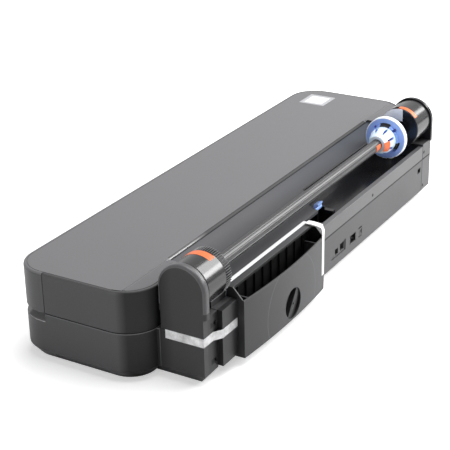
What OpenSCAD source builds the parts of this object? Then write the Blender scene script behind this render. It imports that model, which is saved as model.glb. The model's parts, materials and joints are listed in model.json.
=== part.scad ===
// Wide format roll printer with a lift-up lid, a roll bay and a rear sheet bin.
// X runs along the width (near end +X), Y from the front face (-Y) to the rear (+Y), Z up.
// Every module draws with Y = 0 at the front face; in_place() centres the result.

/* [Body] */
// Width of the printer body
body_w = 1013; // [900:1:1150]
// Depth of the main body, front face to rear face
body_d = 247; // [230:1:260]
// Height of the top surface above the floor
body_h = 158; // [150:1:175]
// Plan radius of the body corners
corner_r = 57; // [45:1:65]
// Distance from the top surface down to the seam between the lower and upper shells
seam_drop = 70.5; // [66:0.5:72]
// Wall thickness of the moulded shells
wall = 3; // [2.5:0.1:3.4]
// Inset of the bevel round the bottom edge
bevel_in = 14; // [8:1:18]
// Height of the bevel round the bottom edge
bevel_h = 17; // [10:1:20]
// Depth of the sloping underside behind the front face
front_slope_d = 45; // [30:1:60]
// Height of the sloping underside at the front face
front_slope_h = 31; // [20:1:38]
// Height of the rubber feet
foot_h = 3; // [2:0.5:5]
// Radius of the rubber feet
foot_r = 10; // [7:0.5:14]

/* [Lid and paper slot] */
// Height of the paper exit slot under the lid apron
slot_h = 15.5; // [10:0.5:17]
// Distance from the front face to the side seam of the lid
apron_d = 66; // [62:1:80]
// Thickness of the lid panel
lid_t = 3; // [2.5:0.1:4]
// Radius of the rounded top rim
rim_r = 4; // [2.5:0.5:5]
// Width of the fixed rim beside the lid panel
rim_w = 5.5; // [5:0.5:8]
// Width of the groove between the rim and the lid panel
groove_w = 1; // [0.8:0.1:1.5]
// Radius of the round lip along the rear edge of the lid
lip_r = 4; // [3.5:0.1:4.5]
// Distance from the rear edge of the lid to the rear face of the body
lid_back = 33; // [31:1:39]
// Radius of the two lid hinge pins
hinge_pin_r = 2; // [1.5:0.1:2.4]

/* [Roll bay] */
// Distance from the near end of the body to the outer face of the near tower
near_inset = 47.5; // [40:0.5:56]
// Distance from the far end of the body to the outer face of the far tower
far_inset = 75.5; // [60:0.5:82]
// Width of each end tower
tower_w = 41; // [36:1:44]
// Half of the depth of each tower
tower_half = 38.5; // [37:0.5:39]
// Distance from the top surface down to the top of each tower box
tower_drop = 39; // [39:1:42]
// Thickness of the arched end plate of each tower
plate_w = 12; // [10:1:14]
// Radius of the arched end plate
arch_r = 43; // [41:0.5:44]
// Radius of the rounded edge of the arched end plate
arch_round = 5.5; // [3:0.5:7]
// Distance of the roll axis behind the body
axis_back = 45.5; // [44:0.5:47]
// Height of the roll axis above the top surface
axis_rise = 2; // [2:0.5:6]
// Radius of the glossy end drums
drum_r = 40; // [37:0.5:40.5]
// Length of the near drum
near_drum_l = 57.5; // [50:0.5:60]
// Length of the far drum
far_drum_l = 63; // [55:1:68]
// Room for the gear between the open bay and the near drum
gear_room = 19.5; // [17:0.5:24]
// Distance from the far tower to the open bay
far_room = 15; // [10:1:20]
// Thickness of the bay panels
panel_t = 3; // [2.5:0.1:3.5]
// Distance from the top surface down to the lower edge of the paper chute
chute_drop = 33; // [30:1:36]
// Distance of the lower edge of the paper chute behind the roll axis
chute_back = 7.5; // [2:0.5:11]
// Distance behind the body where the far half of the chute ends
step_back = 3; // [2:0.5:5]
// Place along the width where the chute gives way to the open trough
chute_x = -20; // [-60:1:20]
// Distance from the top surface down to the trough floor
trough_drop = 61; // [58:1:64]
// Room between the far drum and the rear wall of the trough
drum_room = 5; // [2:0.5:8]

/* [Spindle] */
// Radius of the spindle tube
shaft_r = 11; // [10:0.5:12]
// Radius of the journals at both ends of the spindle
journal_r = 8; // [7:0.5:9]
// Depth of the journals in the drums
journal_l = 24; // [18:1:30]
// Number of flutes along the spindle tube
flutes = 10; // [6:1:14]
// Number of teeth on the spindle gear
gear_teeth = 60; // [60:1:60]
// Number of teeth on the roll drive pinion
pinion_teeth = 14; // [14:1:14]
// Tooth module of the roll drive
roll_module = 1.28; // [1.2:0.01:1.28]
// Width of the spindle gear
gear_w = 16; // [12:1:16]
// Distance from the far drum to the paper face of the sliding hub
hub_in = 68; // [60:1:76]
// Radius of the flange of the sliding hub
flange_r = 42; // [38:0.5:42]
// Thickness of the flange of the sliding hub
flange_t = 13; // [8:0.5:14]
// Radius of the collet at the flange
collet_r = 25.4; // [24:0.1:26]
// Radius of the nose of the collet
nose_r = 17; // [15.5:0.5:19]
// Length of the collet
collet_l = 34; // [26:1:40]
// Number of slots round the collet
collet_slots = 8; // [6:1:8]

/* [Sheet bin] */
// Width of the bin and its clearances
bin_w = 277; // [262:1:287]
// Width of the latch block beside the near tower
block_w = 46; // [44:1:48]
// Distance of the front wall of the bin behind the body
bin_back = 73; // [72:0.5:74]
// Depth of the bin at its corners
bin_d = 32; // [28:1:36]
// Bow of the rear face of the bin
bin_bow = 6; // [3:0.5:8]
// Height of the bottom of the bin
bin_z = 17; // [16:0.5:20]
// Distance from the top surface down to the rear edge of the bin
bin_rim_drop = 42; // [40:1:50]
// Distance from the top surface down to the front edge of the bin
bin_top_drop = 20; // [20:1:24]
// Wall thickness of the bin
bin_wall = 2.5; // [2:0.1:3]
// Width of the flat flange along the front edge of the bin
bin_flange = 12; // [8:1:13]
// Radius of the latch knob
knob_r = 27; // [22:0.5:28]
// Height of the centre of the latch knob above the bottom of the bin
knob_rise = 30; // [29:0.5:33]
// Distance of the latch knob from the middle of the bin towards the far end
knob_in = 14; // [0:0.5:38]

/* [Print engine] */
// Radius of the feed roller
feed_r = 11; // [9:0.5:12]
// Radius of the exit roller
exit_r = 6; // [5:0.5:7]
// Radius of the pinch rollers
pinch_r = 4; // [3:0.5:4.5]
// Distance from the end of the body to the end of the platen
platen_in = 172.5; // [171:0.5:182]
// Distance of the feed roller behind the middle of the body
feed_back = 16.5; // [14:0.5:18]
// Distance of the exit roller in front of the middle of the body
exit_front = 39.5; // [38:0.5:42]
// Radius of the carriage rail
rail_r = 6; // [5:0.5:7]
// Width of the carriage
carriage_w = 84; // [70:1:84]
// Pitch radius of the belt pulleys
pulley_r = 9; // [8:0.5:9.5]
// Thickness of the drive belt
belt_t = 1.5; // [1:0.1:1.8]
// Width of the drive belt
belt_w = 6; // [5:0.5:6.5]
// Tooth module of the paper feed gears
feed_module = 1; // [0.9:0.05:1]

/* [Hidden] */
$fn = 48;

// Shared clearances: seam between shells, seat of a fixed piece, running fit, overrun of a cut
gap = 0.3;
seat = 0.25;
run_fit = 0.05;
over = 1;
// Turned parts with many copies use fewer sides
coarse = 24;
fine = 96;

// Derived places of the body
half_w = body_w / 2;
seam_z = body_h - seam_drop;
lid_d = body_d - lid_back;
near_face = half_w - near_inset;
far_face = half_w - far_inset;
tower_box_z = body_h - tower_drop;
axis_y = body_d + axis_back;
axis_z = body_h + axis_rise;
bay_near = near_face - plate_w - near_drum_l - gear_room;
bay_far = far_face - tower_w - far_room;
chute_z = body_h - chute_drop;
chute_y = axis_y + chute_back;
chute_step_y = body_d + step_back;
trough_z = body_h - trough_drop;
rear_wall_z = axis_z - drum_r - drum_room;
bin_front_y = body_d + bin_back;
bin_rear_y = bin_front_y + bin_d;
bin_rim_z = body_h - bin_rim_drop;
bin_back_z = body_h - bin_top_drop;
knob_z = bin_z + knob_rise;
overall_d = bin_rear_y + bin_bow;
base_z = foot_h;
floor_z = base_z + wall;
slot_z = seam_z - slot_h;
shadow = wall / 4;
upper_z = seam_z + gap;
panel_z = body_h - lid_t;
ledge_t = lid_t + gap;
ledge_z = panel_z - gap;
ledge_w = rim_w + 3 * wall;
hinge_y = lid_d - lip_r;
hinge_z = body_h - lip_r;
rear_y = axis_y + tower_half;
tower_y = axis_y - tower_half;
recess_y = bin_front_y - 2 * wall;
block_x0 = near_face - tower_w - block_w;
bin_far = block_x0 - bin_w;
bin_x1 = block_x0 - gap;
bin_x0 = bin_far + gap;
knob_x = (bin_x0 + bin_x1) / 2 - knob_in;
far_rear_x = bin_far - wall / 2;

// Derived places of the engine
pan_t = wall * 0.7;
pan_z = floor_z + seat;
pan_top = pan_z + pan_t;
platen_half = half_w - platen_in;
frame_x = platen_half + carriage_w + 7 * wall;
frame_t = wall / 1.5;
bracket_x = platen_half + 2 * wall;
feed_y = body_d / 2 + feed_back;
feed_z = slot_z - 2 * wall;
exit_y = body_d / 2 - exit_front;
exit_z = feed_z + feed_r - exit_r;
pinch_z = feed_z + feed_r + pinch_r + gap;
carriage_z = pinch_z + pinch_r + 2 * wall;
carriage_h = 45;
rail_z = carriage_z + carriage_h * 0.62;
park_x = -frame_x + carriage_w / 2 + 6 * wall;
travel = 2 * frame_x - carriage_w - 20 * wall;
beam_y = body_d - 18 * wall;
belt_y = beam_y - belt_w - wall;
belt_z = carriage_z + pulley_r + 2 * wall;
pulley_x = frame_x - pulley_r - 2 * wall;
head_reach = 48;
carriage_y0 = feed_y - head_reach;
carriage_y1 = belt_y - 2 * wall;
rail_y = carriage_y1 - rail_r - 2 * wall - over;

// Derived places of the spindle
gear_x1 = near_face - plate_w - near_drum_l - gap;
gear_x0 = gear_x1 - gear_w;
far_drum_x = -far_face + plate_w + far_drum_l;
hub_x = -far_drum_x - hub_in;
gear_pitch_r = gear_teeth * roll_module / 2;
pinion_pitch_r = pinion_teeth * roll_module / 2;
roll_mesh = gear_pitch_r + pinion_pitch_r + roll_module / 8;
pinion_angle = 242;
pinion_y = axis_y + roll_mesh * cos(pinion_angle);
pinion_z = axis_z + roll_mesh * sin(pinion_angle);
feed_gear_teeth = 36;
feed_pinion_teeth = 12;
feed_mesh = (feed_gear_teeth + feed_pinion_teeth) * feed_module / 2 + feed_module / 8;
feed_angle = 214;
feed_pinion_y = feed_y + feed_mesh * cos(feed_angle);
feed_pinion_z = feed_z + feed_mesh * sin(feed_angle);
gear_share = 0.36;

module in_place() {
    translate([0, -overall_d / 2, 0]) children();
}

// Extrudes a (depth, height) outline from x0 to x1
module along_x(x0, x1) {
    translate([x0, 0, 0]) rotate([90, 0, 90]) linear_extrude(x1 - x0) children();
}

// Extrudes an (x, height) outline from y0 to y1
module along_y(y0, y1) {
    translate([0, y1, 0]) rotate([90, 0, 0]) linear_extrude(y1 - y0) children();
}

// Box between two corners
module span(a, b) {
    translate(a) cube([b[0] - a[0], b[1] - a[1], b[2] - a[2]]);
}

module rod_x(x0, x1, y, z, r) {
    translate([x0, y, z]) rotate([0, 90, 0]) cylinder(r = r, h = x1 - x0);
}

module rod_y(x, y0, y1, z, r) {
    translate([x, y0, z]) rotate([-90, 0, 0]) cylinder(r = r, h = y1 - y0);
}

// Turns a (radius, distance) outline about a line along +X that starts at x
module turn_x(x, y, z) {
    translate([x, y, z]) rotate([0, 90, 0]) rotate_extrude($fn = fine) children();
}

// Wall outlines are lists of [inset, height] from bottom to top
function section(a0, a1, prof) = concat(
    [for (p = prof) [a0 + p[0], p[1]]],
    [for (i = [len(prof) - 1:-1:0]) [a1 - prof[i][0], prof[i][1]]]);

module corner_post(x, y, r, prof) {
    last = len(prof) - 1;
    translate([x, y, 0]) rotate_extrude($fn = fine)
        polygon(concat([[0, prof[0][1]]], [for (p = prof) [r - p[0], p[1]]], [[0, prof[last][1]]]));
}

// Block with round plan corners and the given wall outline
module round_block(x0, x1, y0, y1, r, prof) {
    along_x(x0 + r, x1 - r) polygon(section(y0, y1, prof));
    along_y(y0 + r, y1 - r) polygon(section(x0, x1, prof));
    for (x = [x0 + r, x1 - r], y = [y0 + r, y1 - r]) corner_post(x, y, r, prof);
}

// Block with square plan corners and the given wall outline
module square_block(x0, x1, y0, y1, prof) {
    intersection() {
        along_x(x0, x1) polygon(section(y0, y1, prof));
        along_y(y0, y1) polygon(section(x0, x1, prof));
    }
}

// Body outline, inset all round, from z0 to z1
module body_slab(inset, z0, z1) {
    round_block(-half_w + inset, half_w - inset, inset, body_d - inset, corner_r - inset,
                [[0, z0], [0, z1]]);
}

function rim_arc(r, top) = [for (i = [0:4]) [r * (1 - cos(22.5 * i)), top - r + r * sin(22.5 * i)]];

base_prof = [[bevel_in, base_z], [0, base_z + bevel_h], [0, seam_z - shadow], [shadow, seam_z]];
base_hollow = [[bevel_in + wall, floor_z], [wall, floor_z + bevel_h], [wall, seam_z + over]];
bay_prof = base_prof;
upper_prof = concat([[shadow, upper_z], [0, upper_z + shadow]], rim_arc(rim_r, body_h));

// Sloping underside at the front, moved back by shift
module front_slope(shift) {
    along_x(-body_w, body_w)
        polygon([[-over - body_d, base_z - over], [-over - body_d, base_z + front_slope_h + shift],
                 [shift / 2, base_z + front_slope_h + shift],
                 [front_slope_d + shift, base_z + shift], [front_slope_d + shift, base_z - over]]);
}

// Shallow grip recess in the bevel of one end; side is 1 or -1
module grip_recess(side) {
    grip_t = wall / 3;
    low = [half_w - bevel_in * 0.85, base_z + bevel_h * 0.15];
    high = [half_w - bevel_in * 0.2, base_z + bevel_h * 0.8];
    along_y(body_d * 0.32, body_d * 0.72)
        polygon([for (p = [low, high, [high[0] + wall, high[1]], [low[0] + wall, low[1]]])
                 [side * (p[0] - (p[0] > half_w - bevel_in * 0.1 ? 0 : grip_t)), p[1]]]);
}

// Blocks that make up the lower shell; one call draws the outside, one the hollow
module base_blocks(inset, prof) {
    front = body_d - 3 * bevel_in;
    round_block(-half_w, half_w, 0, body_d, corner_r, prof);
    square_block(-far_face, near_face, front - inset, recess_y, prof);
    square_block(-far_face, far_rear_x, front - inset, rear_y, prof);
    square_block(near_face - tower_w, near_face, front - inset, rear_y, prof);
}

inlet_x = -66;
inlet_w = 27;
inlet_h = 20;
inlet_z = 34;
rocker_x = inlet_x - inlet_w - 2 * wall + over;
rocker_y = rear_y - 3 * wall;
rocker_z = inlet_z + inlet_h / 2;
rocker_w = 13;
port_x = -6;
port_w = 58;
port_h = 22;
latch_hole = 8;
latch_low_z = 37;
rear_slot_x = -far_face + tower_w + 5 * wall;
rear_slot_w = 12;
rear_slot_z = seam_z - 6.5 * wall;
far_screw_x = -far_face + tower_w - 2.5 * wall;
far_screw_low_z = base_z + bevel_h + 3 * wall;
far_screw_high_z = tower_box_z - 6 * wall;
latch_high_z = tower_box_z - 6 * wall;
latch_x = near_face - tower_w + wall + latch_hole / 2;

module base_shell() {
    color([0.2, 0.2, 0.21]) in_place() {
        base_walls();
        // Ears that carry the pins of the power switch
        difference() {
            for (x = [rocker_x - rocker_w / 2 - wall, rocker_x + rocker_w / 2])
                span([x, rocker_y - 2 * wall, rocker_z - 2 * wall],
                     [x + wall, rear_y - wall + seat, rocker_z + 2 * wall]);
            rod_x(rocker_x - rocker_w, rocker_x + rocker_w, rocker_y, rocker_z, motor_pin_r + run_fit);
        }
    }
}

module base_walls() {
    difference() {
        base_blocks(0, base_prof);
        difference() {
            base_blocks(wall, base_hollow);
            front_slope(wall);
        }
        front_slope(0);
        // Front of the paper slot
        span([-body_w, -over, slot_z], [body_w, apron_d, seam_z + over]);
        for (side = [-1, 1]) grip_recess(side);
        // Holes in the rear wall for the power inlet, the switch and the ports
        span([inlet_x - inlet_w / 2, rear_y - 2 * wall, inlet_z],
             [inlet_x + inlet_w / 2, rear_y + over, inlet_z + inlet_h]);
        span([rocker_x - rocker_w / 2, rear_y - 2 * wall, inlet_z],
             [rocker_x + rocker_w / 2, rear_y + over, inlet_z + inlet_h]);
        span([port_x - port_w / 2, rear_y - 2 * wall, inlet_z],
             [port_x + port_w / 2, rear_y + over, inlet_z + port_h]);
        // Slot in the far half of the rear wall
        span([rear_slot_x - rear_slot_w / 2, rear_y - 2 * wall, rear_slot_z - latch_hole / 2],
             [rear_slot_x + rear_slot_w / 2, rear_y + over, rear_slot_z + latch_hole / 2]);
        // Screw hole in the far tower foot
        rod_y(far_screw_x, rear_y - wall - over, rear_y + over, far_screw_low_z, screw_r);
        // Latch hole in the near tower foot
        span([latch_x - latch_hole / 2, rear_y - 2 * wall, latch_low_z - latch_hole / 2],
             [latch_x + latch_hole / 2, rear_y + over, latch_low_z + latch_hole / 2]);
        // Slot where the far bin pin turns
        rod_x(far_rear_x - 4 * wall, far_rear_x + over, bin_pin_y, bin_pin_z, bin_pin_r + run_fit);
        // Pockets for the feet
        for (p = foot_places) translate([p[0], p[1], base_z - over])
            cylinder(r = foot_r + run_fit, h = over + foot_sink);
    }
}

module upper_shell() {
    color([0.2, 0.2, 0.21]) in_place() difference() {
        round_block(-half_w, half_w, 0, body_d, corner_r, upper_prof);
        // Hollow up to the ledge, kept in front of the bay and behind it at both ends
        difference() {
            round_block(-half_w + wall, half_w - wall, wall, body_d - wall, corner_r - wall,
                        [[0, upper_z - over], [0, ledge_z - ledge_t]]);
            span([-bay_far - wall, lid_d + gap, 0], [bay_near + wall, body_d, body_h]);
        }
        // Opening under the lid
        intersection() {
            body_slab(ledge_w, ledge_z - ledge_t - over, body_h + over);
            span([-half_w, 0, 0], [half_w, hinge_y - lip_r - 2 * gap, 2 * body_h]);
        }
        // Rebate for the lid panel and its round lip
        intersection() {
            body_slab(rim_w, ledge_z, body_h + over);
            span([-half_w, 0, 0], [half_w, lid_d + gap, 2 * body_h]);
        }
        intersection() {
            body_slab(rim_w, ledge_z - 2 * lip_r, body_h + over);
            span([-half_w, hinge_y - lip_r - 2 * gap, hinge_z - lip_r - gap],
                 [half_w, lid_d + gap, 2 * body_h]);
        }
        // Roll bay behind the lid
        span([-bay_far, lid_d + gap - over, 0], [bay_near, body_d + over, body_h + over]);
        // Everything in front of the side seam belongs to the lid
        span([-body_w, -over, 0], [body_w, apron_d + gap, 2 * body_h]);
        for (side = [-1, 1])
            rod_x(side > 0 ? hinge_x0 : -hinge_x1, side > 0 ? hinge_x1 : -hinge_x0,
                  hinge_y, hinge_z, hinge_pin_r);
    }
}

lip_half = half_w - corner_r * 0.235;
hinge_x0 = lip_half - 4 * lip_r;
hinge_x1 = lip_half + 2 * lip_r;

module lid() {
    color([0.22, 0.22, 0.23]) in_place() difference() {
        union() {
            // Front apron that wraps both front corners
            difference() {
                intersection() {
                    round_block(-half_w, half_w, 0, body_d, corner_r, upper_prof);
                    span([-body_w, -over, 0], [body_w, apron_d - gap, 2 * body_h]);
                }
                round_block(-half_w + wall, half_w - wall, wall, body_d, corner_r - wall,
                            [[0, upper_z - over], [0, panel_z]]);
                difference() {
                    body_slab(rim_w, body_h - groove_w, body_h + over);
                    body_slab(rim_w + groove_w, body_h - 2 * groove_w, body_h + 2 * over);
                }
            }
            // Flat panel inside the rim
            intersection() {
                body_slab(rim_w + groove_w, panel_z, body_h);
                span([-body_w, apron_d - 2 * gap - wall, 0], [body_w, hinge_y - 4 * lip_r, 2 * body_h]);
            }
            intersection() {
                body_slab(rim_w + 2 * groove_w, panel_z, body_h);
                span([-body_w, hinge_y - 4 * lip_r - over, 0], [body_w, hinge_y, 2 * body_h]);
            }
            rod_x(-lip_half, lip_half, hinge_y, hinge_z, lip_r);
            // Stiffening ribs under the panel
            for (i = [-4:4]) span([i * lid_rib_pitch, 2 * wall, panel_z - lid_rib_h],
                                  [i * lid_rib_pitch + wall / 2, hinge_y - 4 * lip_r, panel_z + over / 2]);
            for (y = [2 * wall, hinge_y - 4 * lip_r])
                span([-4 * lid_rib_pitch, y, panel_z - lid_rib_h],
                     [4 * lid_rib_pitch + wall / 2, y + wall / 2, panel_z + over / 2]);
        }
        for (side = [-1, 1])
            rod_x(side > 0 ? hinge_x0 - over : -hinge_x1 - over,
                  side > 0 ? hinge_x1 + over : -hinge_x0 + over, hinge_y, hinge_z, hinge_pin_r + run_fit);
        // Rebate for the display
        span([display_x0, display_y0, body_h - display_t], [display_x1, display_y1, body_h + over]);
    }
}

lid_rib_h = 6;
lid_rib_pitch = (half_w - corner_r - wall) / 4.2;
display_in = 34.5;
display_w = 60;
display_d = 58;
display_x0 = -half_w + display_in;
display_x1 = display_x0 + display_w;
display_y0 = 37;
display_y1 = display_y0 + display_d;
display_t = 1.6;
display_rim = 7;

module display_bezel() {
    color([0.42, 0.43, 0.45]) in_place() difference() {
        span([display_x0 + gap, display_y0 + gap, body_h - display_t + seat],
             [display_x1 - gap, display_y1 - gap, body_h]);
        span([display_x0 + display_rim, display_y0 + display_rim, body_h - display_t / 2],
             [display_x1 - display_rim, display_y1 - display_rim, body_h + over]);
    }
}

module display_glass() {
    color([0.85, 0.87, 0.9]) in_place()
        span([display_x0 + display_rim + gap, display_y0 + display_rim + gap,
              body_h - display_t / 2 + seat / 2],
             [display_x1 - display_rim - gap, display_y1 - display_rim - gap, body_h - seat / 2]);
}

module hinge_pins() {
    color([0.75, 0.75, 0.77]) in_place() for (side = [-1, 1])
        rod_x(side > 0 ? hinge_x0 : -hinge_x1 + run_fit, side > 0 ? hinge_x1 - run_fit : -hinge_x0,
              hinge_y, hinge_z, hinge_pin_r - run_fit / 5);
}

// Arched end plate with its rounded outer edge towards +X, drawn from its inner face at x = 0
module arch_plate() {
    arc = [for (i = [0:4]) [arch_r - arch_round * (1 - cos(22.5 * i)),
                            plate_w - arch_round + arch_round * sin(22.5 * i)]];
    turn_x(0, axis_y, axis_z) polygon(concat([[0, 0], [arch_r, 0]], arc, [[0, plate_w]]));
    side_pts = concat([[0, -arch_r]], [for (p = arc) [p[1], -p[0]]],
                      [for (i = [4:-1:0]) [arc[i][1], arc[i][0]]], [[0, arch_r]]);
    translate([0, axis_y, tower_box_z]) linear_extrude(axis_z - tower_box_z) polygon(side_pts);
}

// One end tower; outer is the distance of its outer face, side is 1 near and -1 far
module tower(outer, side, front_y) {
    scale_x = side;
    mirror([scale_x < 0 ? 1 : 0, 0, 0]) difference() {
        union() {
            translate([outer - plate_w, 0, 0]) arch_plate();
            difference() {
                span([outer - tower_w, front_y, upper_z], [outer, rear_y, tower_box_z]);
                span([outer - tower_w + wall, front_y + wall, upper_z - over],
                     [outer - wall, rear_y - wall, tower_box_z - wall]);
            }
        }
        rod_x(outer - plate_w - over, outer - plate_w / 2, axis_y, axis_z, journal_r / 2);
    }
}

module near_tower() {
    color([0.21, 0.21, 0.22]) in_place() difference() {
        tower(near_face, 1, tower_y);
        span([latch_x - latch_hole / 2, rear_y - 2 * wall, latch_high_z - latch_hole / 2],
             [latch_x + latch_hole / 2, rear_y + over, latch_high_z + latch_hole / 2]);
    }
}

module far_tower() {
    color([0.21, 0.21, 0.22]) in_place() difference() {
        tower(far_face, -1, tower_y);
        rod_y(far_screw_x, rear_y - wall - over, rear_y + over, far_screw_high_z, screw_r);
    }
}

// Drum drawn along +X from its open end at x = 0, with a shadow groove beside the tower
module drum(length) {
    edge = wall / 3;
    difference() {
        turn_x(0, axis_y, axis_z)
            polygon([[0, 0], [drum_r - edge, 0], [drum_r, edge], [drum_r, length - 2 * wall],
                     [drum_r - edge, length - 2 * wall + edge], [drum_r - edge, length - seat],
                     [0, length - seat]]);
        rod_x(-over, journal_l + wall, axis_y, axis_z, journal_r + run_fit);
    }
}

module near_drum() {
    color([0.03, 0.03, 0.035]) in_place()
        translate([near_face - plate_w - near_drum_l, 0, 0]) drum(near_drum_l);
}

module far_drum() {
    color([0.03, 0.03, 0.035]) in_place() difference() {
        mirror([1, 0, 0]) translate([far_face - plate_w - far_drum_l, 0, 0]) drum(far_drum_l);
        // Stepped edge at the top of the open end
        span([far_drum_x - 4 * wall, axis_y - drum_r, axis_z + drum_r - 2 * wall],
             [far_drum_x + over, axis_y, axis_z + drum_r + over]);
    }
}

// Slanted panel that guides the paper from the bay into the printer
module chute_panel() {
    top = [lid_d + 2 * gap, hinge_z];
    slope = (hinge_z - chute_z) / (chute_y - top[0]);
    step_z = hinge_z - slope * (chute_step_y - top[0]);
    color([0.3, 0.3, 0.32]) in_place() difference() {
        union() {
            along_x(chute_x, bay_near - gap)
                polygon([top, [chute_y, chute_z], [chute_y, chute_z - 2 * panel_t],
                         [chute_y - panel_t, chute_z - 2 * panel_t], [chute_y - panel_t, chute_z - panel_t],
                         [top[0], hinge_z - panel_t]]);
            along_x(-bay_far + gap, chute_x)
                polygon([top, [chute_step_y, step_z], [chute_step_y, step_z - panel_t],
                         [top[0], hinge_z - panel_t]]);
        }
        // Notch for the sheet lever
        span([chute_x - over, lever_y - lever_d, 0], [lever_x1 + wall, chute_y + over, body_h]);
    }
}

lever_d = 10;
lever_l = 24;
lever_x0 = chute_x + lever_d;
lever_x1 = lever_x0 + lever_l;
lever_y = chute_y - lever_d;
lever_z = chute_z - panel_t;
lever_pin_r = 2;

// Blue lever that holds the leading edge of the roll, on a pin across the notch
module sheet_lever() {
    color([0.25, 0.5, 0.85]) in_place() difference() {
        union() {
            rod_x(lever_x0, lever_x1, lever_y, lever_z, lever_pin_r + wall);
            along_x(lever_x0 + wall, lever_x1 - wall)
                polygon([[lever_y - lever_pin_r, lever_z], [lever_y - lever_pin_r, lever_z + 3 * wall],
                         [lever_y + lever_d - wall, lever_z + 4 * wall],
                         [lever_y + lever_d - wall, lever_z + 3 * wall], [lever_y + lever_pin_r, lever_z]]);
        }
        rod_x(lever_x0 - over, lever_x1 + over, lever_y, lever_z, lever_pin_r + run_fit);
    }
}

// Deep glossy trough below the far half of the spindle
module roll_trough() {
    top_z = hinge_z - (hinge_z - chute_z) / (chute_y - lid_d - 2 * gap) * (chute_step_y - lid_d - 2 * gap);
    color([0.02, 0.02, 0.025]) in_place() {
        along_x(-bay_far + gap, chute_x - gap)
            polygon([[chute_step_y + gap, top_z], [chute_step_y + gap, top_z - panel_t],
                     [chute_step_y + panel_t, trough_z - panel_t], [rear_y - 5 * wall, trough_z - panel_t],
                     [rear_y - wall - gap, rear_wall_z - 2 * panel_t],
                     [rear_y - wall - gap, rear_wall_z - panel_t],
                     [rear_y - 5 * wall, trough_z], [chute_step_y + 2 * panel_t, trough_z],
                     [chute_step_y + gap + panel_t, top_z]]);
        // End wall under the sheet lever
        along_x(chute_x - gap, lever_x0 - gap)
            polygon([[chute_step_y + panel_t, trough_z - panel_t], [rear_y - 5 * wall, trough_z - panel_t],
                     [rear_y - 5 * wall, chute_z - 3 * panel_t],
                     [chute_step_y + panel_t, chute_z - 3 * panel_t]]);
        // Lever brackets
        for (x = [lever_x0 - panel_t, lever_x1 + gap])
            along_x(x, x + panel_t - gap)
                polygon([[lever_y - lever_d + gap, trough_z - panel_t],
                         [lever_y + lever_d - gap, trough_z - panel_t],
                         [lever_y + lever_d - gap, lever_z], [lever_y - lever_d + gap, lever_z]]);
        rod_x(lever_x0 - gap, lever_x1 + gap, lever_y, lever_z, lever_pin_r);
    }
}

module rear_cover() {
    color([0.3, 0.3, 0.31]) in_place() difference() {
        union() {
            span([-far_face + tower_w + gap, rear_y - wall, upper_z], [far_rear_x, rear_y, rear_wall_z]);
            span([-far_face + tower_w + gap, rear_y - 3 * wall, rear_wall_z - panel_t * 0.9],
                 [far_rear_x, rear_y - wall, rear_wall_z]);
        }
        for (x = screw_xs) rod_y(x, rear_y - wall - over, rear_y + over, screw_z, screw_r);
    }
}

screw_r = 2;
screw_z = (upper_z + rear_wall_z) / 2 - wall;
screw_in = 33.5;
screw_xs = [-bay_far * 0.4, far_rear_x - screw_in];

module case_screws() {
    color([0.12, 0.12, 0.12]) in_place() {
        for (x = screw_xs) rod_y(x, rear_y - 2 * wall, rear_y + seat, screw_z, screw_r - run_fit);
        for (z = [far_screw_low_z, far_screw_high_z])
            rod_y(far_screw_x, rear_y - 2 * wall, rear_y + seat, z, screw_r - run_fit);
    }
}

// Block between the near tower and the bin; it carries the bin pin and latch
module latch_block() {
    color([0.2, 0.2, 0.21]) in_place() difference() {
        along_x(block_x0, near_face - tower_w - gap)
            polygon([[recess_y + seat, bin_z + 2 * wall], [bin_rear_y - 4 * wall, bin_z + 2 * wall],
                     [bin_rear_y - 4 * wall, block_z], [recess_y - 4 * wall, block_z],
                     [recess_y - 4 * wall, upper_z], [recess_y + seat, upper_z]]);
        rod_x(block_x0 - over, block_x0 + 3 * wall, bin_pin_y, bin_pin_z, bin_pin_r + run_fit);
    }
}

bin_pin_r = 3;
bin_pin_y = bin_front_y + 2 * bin_pin_r;
bin_pin_z = bin_z + 2 * bin_pin_r + 2 * bin_wall;
block_z = axis_z - drum_r - gap;

// Short pins moulded onto the bin ends
module bin_pins() {
    color([0.7, 0.7, 0.72]) in_place() {
        rod_x(bin_x1 - 2 * wall, block_x0 + 2 * wall, bin_pin_y, bin_pin_z, bin_pin_r);
        rod_x(far_rear_x - 3 * wall, bin_x0 + 2 * wall, bin_pin_y, bin_pin_z, bin_pin_r);
    }
}

// Solid with the bowed rear face, moved in by t
module bin_bow_body(t) {
    half = (bin_x1 - bin_x0) / 2;
    r = (half * half + bin_bow * bin_bow) / (2 * bin_bow);
    translate([bin_x0 + half, overall_d - r, bin_z - over])
        cylinder(r = r - t, h = bin_back_z, $fn = 4 * fine);
}

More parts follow.
